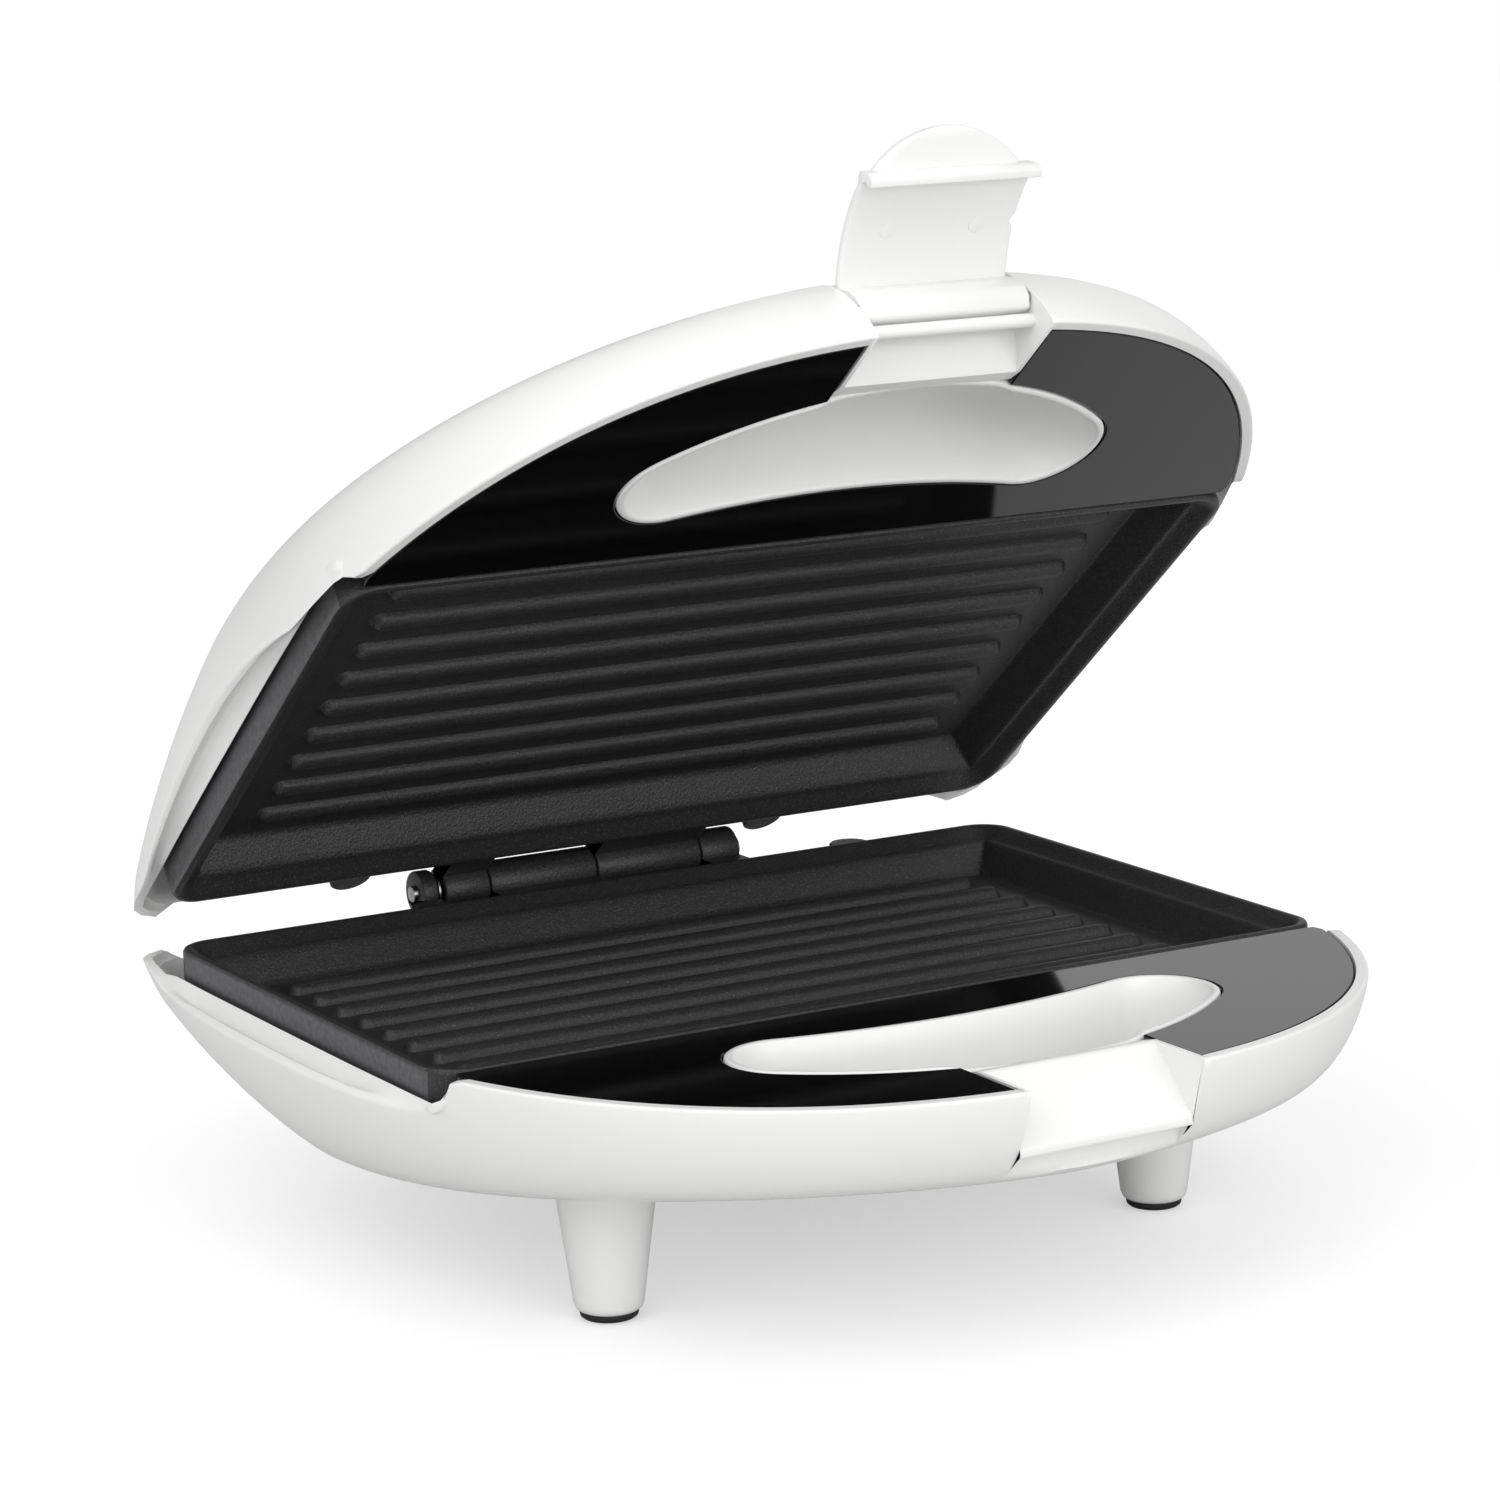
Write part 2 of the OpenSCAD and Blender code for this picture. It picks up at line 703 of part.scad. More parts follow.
module thermostat() {
  color("#d8d4c8") in_base() translate([0, -70, plate_depth]) {
    cylinder(r = 8, h = 6);
    translate([0, 0, 6]) cylinder(r = 6.4, h = 5);
    both_sides() translate([4, -2.4, 11]) cube([0.8, 4.8, 7]);
    difference() {
      translate([-14, -4, 0]) cube([28, 8, 1]);
      cylinder(r = 7.9, h = 3);
    }
  }
}

module thermal_fuse() {
  color("#c7b26a") in_lid() translate([0, -70, plate_depth]) {
    translate([-14, 0, 2.6]) rotate([0, 90, 0]) cylinder(r = 2.2, h = 28);
    translate([-19, 0, 2.6]) rotate([0, 90, 0]) cylinder(r = 0.6, h = 38, $fn = 16);
    translate([-5, -4, 0.02]) difference() {
      cube([10, 8, 5.6]);
      translate([-1, 4, 2.58]) rotate([0, 90, 0]) cylinder(r = 2.21, h = 12);
    }
  }
}

// Three-pole block on a raised seat at the back of the base
module terminal_block() {
  color("#e9e6dc") in_base() translate([0, -2, 0]) difference() {
    union() {
      translate([-17, -5.5, 19.4]) cube([34, 11, 5.6]);
      for (x = [-10.5, 0, 10.5]) translate([x - 4, -5.5, 16]) cube([8, 11, 3.5]);
    }
    for (x = [-10.5, 10.5]) translate([x + (x < 0 ? -1.5 : 1.5), 0, 0]) cylinder(r = 1.6, h = 40, $fn = 24);
  }
}

// Bushing in the rear wall that the supply cord would come out of
module cord_bushing() {
  color("#e8e8e6") in_base() at_cord_hole() difference() {
    union() {
      translate([0, 0, -5]) cylinder(r = cord_bore_r - 0.1, h = 6);
      translate([0, 0, 0.3]) cylinder(r = 6.2, h = 1.7);
      translate([0, 0, -4.9]) cylinder(r = 5.6, h = 1.8);
    }
    translate([0, 0, -10]) cylinder(r = 3.3, h = 20);
  }
}

// Bar that would grip the cord just inside the bushing
module cord_clamp() {
  color("#e9e6dc") in_base() translate([cord_x, -4, 0]) {
    difference() {
      translate([-11, -4, 17]) cube([22, 8, 3]);
      for (s = [-1, 1]) translate([s * 8, 0, 0]) cylinder(r = 1.6, h = 40, $fn = 24);
    }
    for (s = [-1, 1]) translate([s * 8, 0, 15.4]) cylinder(r = 1.5, h = 7, $fn = 24);
  }
}

// A wire as a chain of straight tubes with round joints
module wire(points, r = 0.9) {
  for (i = [0 : len(points) - 2]) {
    a = points[i];
    v = points[i + 1] - a;
    translate(a) rotate([0, acos(v[2] / norm(v)), atan2(v[1], v[0])]) cylinder(r = r, h = norm(v), $fn = 16);
  }
  for (p = points) translate(p) sphere(r = r * 1.15, $fn = 16);
}

module base_wires() {
  color("#d9d2b8") in_base() {
    wire([[18, -33, 19], [14, -33, 27], [9, -16, 29], [8, -8.7, 22]]);
    wire([[-18, -33, 19], [-14, -36, 27], [-9, -50, 33], [-5, -66, 34.2]]);
    wire([[5, -66, 34.2], [1, -40, 33], [-6, -18, 29], [-8, -8.7, 22]]);
  }
}

module lid_wires() {
  color("#d9d2b8") in_lid() {
    wire([[18, -33, 19], [14, -40, 27], [18, -60, 28], [20.2, -70, 17.1]]);
    wire([[-18, -33, 19], [-14, -40, 28], [-10, -80, 34], [-12, -114, 30]]);
    wire([[12, -114, 30], [24, -90, 32], [6, -30, 30], [2, -8, 20]]);
  }
}

// ---------------------------------------------------------------- hinge hardware

module hinge_pin() {
  color("#9a9c9f") in_base() translate([0, hinge_back, 0]) rotate([0, 90, 0]) {
    translate([0, 0, -46.6]) cylinder(r = hinge_pin_d / 2, h = 90.8);
    translate([0, 0, 43.1]) cylinder(r = hinge_pin_d / 2 + 1.2, h = 1.4);
  }
}

module hinge_clip() {
  color("#b0b2b4") in_base() translate([-40.9, hinge_back, 0]) rotate([0, 90, 0]) difference() {
    cylinder(r = 4.2, h = 0.8);
    translate([0, 0, -1]) cylinder(r = hinge_pin_d / 2 + 0.02, h = 3);
  }
}

// ---------------------------------------------------------------- lamps

module lens(x) {
  in_lid() translate([x, lens_y, crown(x, lens_y)]) rotate_extrude()
    polygon([[0, -5], [lens_r, -5], [lens_r, 0.2], [lens_r + 1, 0.35], [lens_r + 0.8, 0.9], [2.4, 1.7], [0, 1.9]]);
}

module power_lens() { color("#c8201a") lens(lens_x[0]); }
module ready_lens() { color("#1f9a3c") lens(lens_x[1]); }

module neon_lamps() {
  color("#e8d9c8") in_lid() for (x = lens_x) translate([x, lens_y, crown(x, lens_y) - 15]) {
    cylinder(r = 2, h = 7);
    translate([0, 0, 7]) sphere(r = 2, $fn = 24);
  }
}

module lamp_holder() {
  z = crown(lens_x[1], lens_y) - 15.2;
  color("#e9e6dc") in_lid() difference() {
    translate([-lamp_boss_x - 4, lens_y - 4, z]) cube([2 * lamp_boss_x + 8, 8, 28.55 - z]);
    for (x = lens_x) translate([x, lens_y, z + 0.18]) cylinder(r = 2.05, h = 10);
    both_sides() translate([lamp_boss_x, lens_y, 0]) cylinder(r = 1.4, h = 40, $fn = 24);
  }
}

// ---------------------------------------------------------------- latch

module latch_pin() {
  color("#b0b2b4") in_lid() translate([-notch_half_w - 4, pivot_y, pivot_h]) rotate([0, 90, 0])
    cylinder(r = latch_pin_r, h = 2 * notch_half_w + 8, $fn = 24);
}

// Curved plate, its hook bar, the finger tab and the barrel round the pin, drawn closed
module latch() {
  c = latch_arc_c;
  color("#f4f4f2") in_latch() difference() {
    union() {
      intersection() {
        along_x(-latch_w / 2, latch_w / 2) union() {
          intersection() {
            difference() {
              translate(c) circle(latch_arc_r, $fn = 160);
              translate(c) circle(latch_arc_r - latch_t, $fn = 160);
            }
            translate([-240, tab_top_h]) square([60, 27.2]);
          }
          translate([tab_y, -40]) square([latch_t - 0.1, 40 + tab_top_h + 0.4]);
        }
        along_y(-240, -190) union() {
          translate([-latch_w / 2, tab_top_h - 1.4]) square([latch_w, 40]);
          translate([0, tab_c_h]) circle(tab_r, $fn = 90);
        }
      }
      // root: the thick end that turns round the pin
      along_x(-latch_w / 2, latch_w / 2) polygon([[-227.4, 8.2], [-225.3, 6.8], [-221, 6.1],
        [-217.4, 7], [-215.5, 8.8], [-215, 11.2], [-218.6, 14.5], [-223, 12.9]]);
      translate([-latch_w / 2, pivot_y, pivot_h]) rotate([0, 90, 0]) cylinder(r = barrel_r, h = latch_w);
      // hook: a lip that turns up behind the base's catch
      along_x(-latch_w / 2, latch_w / 2) polygon([[-219.5, -18.8], [-215.6, -18.9], [-214.2, -18],
        [-213.9, -16.6], [-214.4, -16.1], [-215.6, -16.4], [-216.2, -17], [-218, -16.8], [-219.5, -15.6]]);
    }
    translate([-latch_w, pivot_y, pivot_h]) rotate([0, 90, 0]) cylinder(r = latch_pin_r + 0.05, h = 2 * latch_w);
  }
}

// ---------------------------------------------------------------- output

base_shell();
foot_pads();
base_bezel();
base_plate();
base_heater();
base_heater_clamps();
base_reflector();
base_plate_screws();
thermostat();
terminal_block();
cord_bushing();
cord_clamp();
base_wires();
hinge_pin();
hinge_clip();
lid_shell();
lid_bezel();
lid_plate();
lid_heater();
lid_heater_clamps();
lid_reflector();
lid_plate_screws();
lid_plugs();
thermal_fuse();
power_lens();
ready_lens();
neon_lamps();
lamp_holder();
lid_wires();
latch_pin();
latch();
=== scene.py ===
# %% [markdown]
# # A clamshell panini press
# Two moulded white shells hold cast, ribbed grill plates. A knuckle hinge joins the plates at the
# back, and a curved snap latch hangs from the front of the lid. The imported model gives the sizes,
# the joints and the hidden works; this script makes every surface that shows, as arrays.

# %% Load the frame
import json
import math

import bmesh
import bpy
import numpy as np
from mathutils import Matrix, Vector


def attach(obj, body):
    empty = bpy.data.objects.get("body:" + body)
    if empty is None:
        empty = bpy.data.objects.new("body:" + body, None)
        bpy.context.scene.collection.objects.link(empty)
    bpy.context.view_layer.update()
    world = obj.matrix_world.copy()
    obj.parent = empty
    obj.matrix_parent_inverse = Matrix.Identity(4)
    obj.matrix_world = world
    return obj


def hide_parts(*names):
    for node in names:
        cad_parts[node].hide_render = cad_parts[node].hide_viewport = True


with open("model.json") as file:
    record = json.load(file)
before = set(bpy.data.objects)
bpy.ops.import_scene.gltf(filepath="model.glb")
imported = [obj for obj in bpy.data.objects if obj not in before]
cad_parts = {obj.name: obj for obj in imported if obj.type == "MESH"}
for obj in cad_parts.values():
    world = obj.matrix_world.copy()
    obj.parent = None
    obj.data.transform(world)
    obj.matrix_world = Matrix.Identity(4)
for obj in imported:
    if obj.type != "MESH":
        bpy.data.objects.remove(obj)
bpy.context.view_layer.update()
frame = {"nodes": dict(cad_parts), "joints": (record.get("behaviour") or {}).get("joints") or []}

# %% [markdown]
# ## The half frame
# Each half is drawn the same way up, in millimetres: x to the right, y to the back with 0 at the
# rear edge of the grill plates, and h growing from the parting plane into that half's own shell.
# One hinge carries the lid, so three small functions put a drawing on the base, the lid or the
# latch. The hinge's place and both opening angles come from the imported joints; the latch's pin is
# placed by typed numbers.

# %% Places from the joints
MM = 0.001
joints = {j["name"]: j for j in frame["joints"]}
HINGE_BACK = 12.0  # hinge axis behind the plates' rear edge, mm
hinge_y, hinge_z = (v / MM for v in joints["lid_hinge"]["pos_m"][1:])
LID_OPEN = math.radians(-joints["lid_hinge"]["range_deg"][0])
LATCH_OPEN = math.radians(-joints["latch_hinge"]["range_deg"][0])
PIVOT = (-217.5, 10.0)  # the latch's pin in the lid's half frame (y, h)


def tip_about(p, y0, h0, angle):
    """Turns points about the line y = y0, h = h0: the front comes up for a positive angle."""
    y, h = p[..., 1] - y0, p[..., 2] - h0
    c, s = math.cos(angle), math.sin(angle)
    return np.stack([p[..., 0], y0 + y * c + h * s, h0 - y * s + h * c], -1)


def on_base(p):
    """Half frame to the object's frame, for the base: h runs down from the parting plane."""
    return np.stack([p[..., 0], hinge_y - HINGE_BACK + p[..., 1], hinge_z - p[..., 2]], -1) * MM


def on_lid(p):
    """Half frame to the object's frame, for the lid, open at rest."""
    q = tip_about(p, HINGE_BACK, 0.0, LID_OPEN)
    return np.stack([q[..., 0], hinge_y - HINGE_BACK + q[..., 1], hinge_z + q[..., 2]], -1) * MM


def on_latch(p):
    """The latch is drawn closed, then flipped up about its pin and carried by the lid."""
    return on_lid(tip_about(p, *PIVOT, LATCH_OPEN))


print("hinge at", hinge_y, hinge_z, "lid open", math.degrees(LID_OPEN))

# %% [markdown]
# ## From arrays to meshes
# A surface is a grid of points: rows run one way, columns the other. A grid that closes on itself
# joins its last row or column to its first. Poles are grids whose last column is one point, so
# doubles are merged, and the normals are then worked out again from the closed form.

# %% Mesh helpers
PIECES = []


def grid_faces(rows, cols, close_rows=False, close_cols=False):
    """Quads of a grid with rows x cols points, as an array of indices."""
    i = np.arange(rows if close_rows else rows - 1)
    j = np.arange(cols if close_cols else cols - 1)
    i, j = (a.ravel() for a in np.meshgrid(i, j, indexing="ij"))
    k, m = (i + 1) % rows, (j + 1) % cols
    return np.stack([i * cols + j, k * cols + j, k * cols + m, i * cols + m], 1)


def piece(name, body, material, parts, place, replaces=(), angle=38, bevel=None):
    """One finished piece. parts is a list of (points, faces); place carries them to the frame.
    Doubles are merged, normals face outwards, and edges sharper than angle stay sharp."""
    points, faces, start = [], [], 0
    for p, f in parts:
        points.append(p.reshape(-1, 3))
        faces += [[start + int(v) for v in row] for row in f]
        start += len(points[-1])
    mesh = bpy.data.meshes.new(name)
    mesh.from_pydata(place(np.vstack(points)).tolist(), [], faces)
    bm = bmesh.new()
    bm.from_mesh(mesh)
    bmesh.ops.remove_doubles(bm, verts=bm.verts, dist=2e-6)
    bmesh.ops.dissolve_degenerate(bm, edges=bm.edges, dist=1e-6)
    bmesh.ops.recalc_face_normals(bm, faces=bm.faces)
    loose = [e for e in bm.edges if len(e.link_faces) != 2]
    bm.to_mesh(mesh)
    bm.free()
    mesh.polygons.foreach_set("use_smooth", np.ones(len(mesh.polygons), bool))
    mesh.set_sharp_from_angle(angle=math.radians(angle))
    mesh.materials.append(material)
    obj = bpy.data.objects.new(name, mesh)
    bpy.context.scene.collection.objects.link(obj)
    if bevel:
        edge = obj.modifiers.new("edges", "BEVEL")
        edge.width, edge.segments, edge.limit_method = bevel * MM, 2, "ANGLE"
        edge.angle_limit = math.radians(40)
        edge.harden_normals = False
    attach(obj, body)
    if replaces:
        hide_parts(*replaces)
    PIECES.append(obj)
    print(f"{name}: {len(mesh.polygons)} faces, {len(loose)} open edges")
    return obj


def step(a, b, x):
    """Smooth step: 0 below a, 1 above b, and a cubic between."""
    t = np.clip((np.asarray(x, float) - a) / (b - a), 0, 1)
    return t * t * (3 - 2 * t)


def lathe(profile, turns=64, centre=(0, 0), axis="h"):
    """A turned form. profile is (radius, height) from pole to pole; the axis is h or x."""
    r, z = np.asarray(profile, float).T
    a = np.linspace(0, 2 * np.pi, turns, endpoint=False)[:, None]
    u, v, w = r * np.cos(a) + 0 * a, r * np.sin(a), z + 0 * a
    if axis == "h":
        p = np.stack([u + centre[0], v + centre[1], w], -1)
    else:
        p = np.stack([w, u + centre[0], v + centre[1]], -1)
    return p, grid_faces(turns, len(r), close_rows=True)


def rounded(corners, radius, steps=4):
    """A profile whose inner corners are quadratic curves that start radius away from the corner."""
    c = np.asarray(corners, float)
    out = [c[0]]
    for a, b, d in zip(c[:-2], c[1:-1], c[2:]):
        ra = min(radius, np.linalg.norm(a - b) * 0.49)
        rd = min(radius, np.linalg.norm(d - b) * 0.49)
        s, e = b + (a - b) / np.linalg.norm(a - b) * ra, b + (d - b) / np.linalg.norm(d - b) * rd
        t = np.linspace(0, 1, steps)[:, None]
        out += list((1 - t) ** 2 * s + 2 * t * (1 - t) * b + t * t * e)
    out.append(c[-1])
    return np.array(out)


def prism(outline, x0, x1, ease=0.4):
    """A closed (y, h) outline carried along x, with its end edges eased by a small chamfer."""
    o = np.asarray(outline, float)
    n = len(o)
    mid = o.mean(0)
    inward = mid - o
    inward /= np.linalg.norm(inward, axis=1)[:, None]
    rows = []
    for x, k in ((x0, ease), (x0 + ease * 0.3, ease * 0.3), (x0 + ease, 0), (x1 - ease, 0),
                 (x1 - ease * 0.3, ease * 0.3), (x1, ease)):
        q = o + inward * k
        rows.append(np.stack([np.full(n, x), q[:, 0], q[:, 1]], 1))
    p = np.array(rows)
    f = [list(r) for r in grid_faces(len(rows), n, close_cols=True)]
    f += [list(range(n)), list(range((len(rows) - 1) * n, len(rows) * n))]
    return p, f


# %% [markdown]
# ## Finishes
# The shells are white ABS, moulded against a fine-eroded steel tool, so they are smooth and half
# glossy with the faintest grain. The bezels are ABS from a polished tool: almost a black mirror.
# The plates are cast aluminium under a sprayed non-stick coat, which dries to a fine bumpy film
# that glitters a little. One helper adds a node with its settings and links.

# %% Material helpers
def linear(hex_colour):
    """An sRGB hex colour as linear red, green, blue and alpha."""
    v = np.array([int(hex_colour[i:i + 2], 16) for i in (1, 3, 5)]) / 255
    v = np.where(v <= 0.04045, v / 12.92, ((v + 0.055) / 1.055) ** 2.4)
    return (*v.tolist(), 1.0)


def add(tree, kind, links=None, **settings):
    """Adds a node; settings are its properties or inputs, links feed its inputs by name."""
    node = tree.nodes.new(kind)
    for key, value in settings.items():
        if hasattr(node, key):
            setattr(node, key, value)
        else:
            node.inputs[key.replace("_", " ")].default_value = value
    for key, source in (links or {}).items():
        tree.links.new(source, node.inputs[key])
    return node


def finish(name, colour, roughness, metallic=0.0, ior=None, coat=0.0, coat_roughness=0.03,
           spread=0.04, rough_spread=0.05, patch_mm=9.0, grain_mm=0.5, grain_depth_mm=0.01,
           second=None):
    """A finish with slow colour drift, slow gloss drift and a fine surface grain.
    patch_mm is the size of the drift and grain_mm that of the grain; both are real sizes."""
    m = bpy.data.materials.new(name)
    m.use_nodes = True
    tree = m.node_tree
    tree.nodes.clear()
    out = add(tree, "ShaderNodeOutputMaterial")
    shader = add(tree, "ShaderNodeBsdfPrincipled", Metallic=metallic)
    if ior:
        shader.inputs["IOR"].default_value = ior
    shader.inputs["Coat Weight"].default_value = coat
    shader.inputs["Coat Roughness"].default_value = coat_roughness
    place = add(tree, "ShaderNodeTexCoord").outputs["Object"]
    patch = add(tree, "ShaderNodeTexNoise", {"Vector": place}, Scale=1 / (patch_mm * MM), Detail=3.0)
    grain = add(tree, "ShaderNodeTexNoise", {"Vector": place}, Scale=1 / (grain_mm * MM), Detail=2.0)
    base = linear(colour)
    other = linear(second) if second else tuple(c * (1 - spread) for c in base[:3]) + (1.0,)
    tint = add(tree, "ShaderNodeMix", {0: patch.outputs["Fac"]}, data_type="RGBA")
    tint.inputs[6].default_value, tint.inputs[7].default_value = base, other
    gloss = add(tree, "ShaderNodeMapRange", {"Value": patch.outputs["Fac"]})
    gloss.inputs["To Min"].default_value = roughness - rough_spread
    gloss.inputs["To Max"].default_value = roughness + rough_spread
    bump = add(tree, "ShaderNodeBump", {"Height": grain.outputs["Fac"]}, Strength=1.0)
    bump.inputs["Distance"].default_value = grain_depth_mm * MM
    for socket, source in (("Base Color", tint.outputs[2]), ("Roughness", gloss.outputs["Result"]),
                           ("Normal", bump.outputs["Normal"])):
        tree.links.new(source, shader.inputs[socket])
    tree.links.new(shader.outputs["BSDF"], out.inputs["Surface"])
    return m


# %% White and black ABS
# ABS, IOR about 1.54. The white tool was fine-eroded, so the gloss is soft and its grain, really
# about 0.1 mm, is drawn at 0.35 mm to show. The black tool was polished.
white_abs = finish("white_abs_moulded", "#efefee", 0.34, ior=1.54, spread=0.012, rough_spread=0.03,
                   patch_mm=30, grain_mm=0.35, grain_depth_mm=0.004)
black_abs = finish("black_abs_polished", "#070708", 0.055, ior=1.54, spread=0.1, rough_spread=0.012,
                   patch_mm=25, grain_mm=6, grain_depth_mm=0.002)
print("plastics", white_abs.name, black_abs.name)

# %% [markdown]
# ### The non-stick coat
# PTFE coats are sprayed in two passes and baked. Droplets leave an orange-peel of about half a
# millimetre, and mica flakes give pinpoint glints. Two noises of different size do both: the
# fine one moves the surface, and its peaks lift the colour.

# %% Non-stick coat, and the scratched flank of the plates
def coat(name, colour, flake, roughness, grain_mm, depth_mm):
    """Sprayed coat: a droplet grain drives the bump, and its peaks take the flake colour."""
    m = bpy.data.materials.new(name)
    m.use_nodes = True
    tree = m.node_tree
    tree.nodes.clear()
    out = add(tree, "ShaderNodeOutputMaterial")
    shader = add(tree, "ShaderNodeBsdfPrincipled", IOR=1.45)
    place = add(tree, "ShaderNodeTexCoord").outputs["Object"]
    drops = add(tree, "ShaderNodeTexVoronoi", {"Vector": place}, Scale=1 / (grain_mm * MM))
    mist = add(tree, "ShaderNodeTexNoise", {"Vector": place}, Scale=1 / (0.45 * grain_mm * MM),
               Detail=3.0)
    cloud = add(tree, "ShaderNodeTexNoise", {"Vector": place}, Scale=1 / (14 * MM), Detail=3.0)
    peaks = add(tree, "ShaderNodeMapRange", {"Value": mist.outputs["Fac"]})
    peaks.inputs["From Min"].default_value, peaks.inputs["From Max"].default_value = 0.56, 0.74
    tint = add(tree, "ShaderNodeMix", {0: peaks.outputs["Result"]}, data_type="RGBA")
    tint.inputs[6].default_value, tint.inputs[7].default_value = linear(colour), linear(flake)
    gloss = add(tree, "ShaderNodeMapRange", {"Value": cloud.outputs["Fac"]})
    gloss.inputs["To Min"].default_value = roughness - 0.06
    gloss.inputs["To Max"].default_value = roughness + 0.08
    height = add(tree, "ShaderNodeMath", {0: drops.outputs["Distance"], 1: mist.outputs["Fac"]},
                 operation="ADD")
    bump = add(tree, "ShaderNodeBump", {"Height": height.outputs["Value"]}, Strength=1.0)
    bump.inputs["Distance"].default_value = depth_mm * MM
    for socket, source in (("Base Color", tint.outputs[2]), ("Roughness", gloss.outputs["Result"]),
                           ("Normal", bump.outputs["Normal"])):
        tree.links.new(source, shader.inputs[socket])
    tree.links.new(shader.outputs["BSDF"], out.inputs["Surface"])
    return m


non_stick = coat("ptfe_sprayed_coat", "#2b2b2c", "#5c5c5d", 0.38, 0.7, 0.06)

# %% Metals, rubber, ceramic and the rest
cast_flank = finish("cast_aluminium_brushed", "#77777a", 0.42, metallic=0.7, second="#4e4e50",
                    patch_mm=1.6, grain_mm=0.6, grain_depth_mm=0.03, rough_spread=0.1)
zinc_steel = finish("zinc_plated_steel", "#b5b6b8", 0.3, metallic=1.0, second="#9c9d9f",
                    patch_mm=4, grain_mm=0.4, grain_depth_mm=0.004)
sheet_aluminium = finish("rolled_aluminium", "#cfd0d2", 0.34, metallic=1.0, second="#bcbdbf",
                         patch_mm=12, grain_mm=0.5, grain_depth_mm=0.004)
heater_sheath = finish("oxidised_steel_sheath", "#6b6763", 0.5, metallic=1.0, second="#4d4a47",
                       patch_mm=5, grain_mm=0.4, grain_depth_mm=0.01)
rubber = finish("black_rubber", "#161617", 0.62, ior=1.52, spread=0.2, patch_mm=3, grain_mm=0.5,
                grain_depth_mm=0.02)
steatite = finish("steatite_ceramic", "#dcd8cc", 0.5, ior=1.6, patch_mm=3, grain_mm=0.4,
                  grain_depth_mm=0.01)
brass_can = finish("brass_fuse_can", "#b99a52", 0.35, metallic=1.0, patch_mm=4, grain_mm=0.4,
                   grain_depth_mm=0.004)
nylon = finish("natural_nylon", "#ddd9cd", 0.5, ior=1.53, patch_mm=5, grain_mm=0.5,
               grain_depth_mm=0.01)
sleeve = finish("glass_fibre_sleeve", "#b9b08e", 0.75, second="#948b6c", patch_mm=0.8,
                grain_mm=0.5, grain_depth_mm=0.08)
red_lens = finish("red_polycarbonate", "#a3120c", 0.08, ior=1.58, coat=0.5, patch_mm=3,
                  grain_mm=0.8, grain_depth_mm=0.002)
green_lens = finish("green_polycarbonate", "#0f6a2a", 0.08, ior=1.58, coat=0.5, patch_mm=3,
                    grain_mm=0.8, grain_depth_mm=0.002)
lamp_glass = finish("neon_lamp_glass", "#e8d6c4", 0.06, ior=1.5, patch_mm=2, grain_mm=0.8,
                    grain_depth_mm=0.002)
print("finishes", len(bpy.data.materials))

# %% [markdown]
# ## The shell's form
# Seen from above the shell is a superellipse, fuller than an ellipse, cut off by a straight rear
# wall. Its side wall leans in as it goes down, and its bottom is crowned. One number, the share,
# says how far a point is from the middle (0) to the rim (1): the wall's depth depends on the
# share alone, the crown's depth on x and y, and a smooth minimum blends the two.

# %% Shell form
A, N, YC, FRONT, REAR = 124.8, 2.37, -73.0, 150.0, 230.7
REAR_WALL, LEAN, LEAN_H, LEAN_N = 15.8, 0.096, 40.0, 1.325
DEPTH, WALL, RIM_GAP = 46.0, 2.6, 0.3
NOTCH, STRIP_Y = 21.6, -203.4


def smooth_min(a, b, s):
    """The smaller of a and b, with the corner between them rounded over s."""
    return np.minimum(a, b) - np.maximum(s - abs(a - b), 0) ** 2 / (4 * s)


def crown(x, y):
    """Depth of the crowned bottom: it rises from the deepest line to the front, back and sides."""
    fall = np.where(y < -72.2, 13.9, 23.2)
    return DEPTH - fall * (abs(y + 72.2) / 100) ** 1.5 - 9.0 * (abs(x) / 100) ** 1.5


def shell_depth(share, x, y):
    """Depth of the outside at a share of the way to the rim: the leaning wall meets the crown."""
    wall = LEAN_H * (np.maximum(1 - share, 0) / LEAN) ** (1 / LEAN_N)
    return smooth_min(wall, crown(x, y), 19.9)


def unit_rim(t):
    """The superellipse |x|^n + |y|^n = 1 at angle t, and the share where the rear wall cuts it."""
    c, s = np.cos(t), np.sin(t)
    k = (abs(c) ** N + abs(s) ** N) ** (-1 / N)
    u, v = k * c, k * s
    cut = np.where(v > 0.02, smooth_min(1, (REAR_WALL - YC) / (REAR * np.maximum(v, 0.02)), 0.12), 1)
    return u, v, cut


def share_at(h):
    """The share at which the leaning wall has come down to depth h."""
    return 1 - LEAN * (np.asarray(h, float) / LEAN_H) ** LEAN_N


def skin_depth(x, y):
    """Depth of the outside straight below a point, for the front half of the shell."""
    r = (abs(x / A) ** N + abs((y - YC) / np.where(y < YC, FRONT, REAR)) ** N) ** (1 / N)
    return shell_depth(r, x, y)


# %% [markdown]
# ### Columns and sections
# The shell is one closed surface. A column is one section through it, from the pole of the outside,
# up the wall, over the rim, and down the inside to the inner pole. Columns run round the rim.
# At the latch channel the columns turn parallel to the middle plane, and two columns stand in the
# same plane at each cheek, one with the wall's section and one with the channel's. One flat face
# between the two is the cheek.

# %% Columns round the shell
def rim_angle(x):
    """The angle at which the front rim passes x."""
    u = np.asarray(x, float) / A
    return np.arctan2(-((1 - abs(u) ** N) ** (1 / N)), u) % (2 * np.pi)


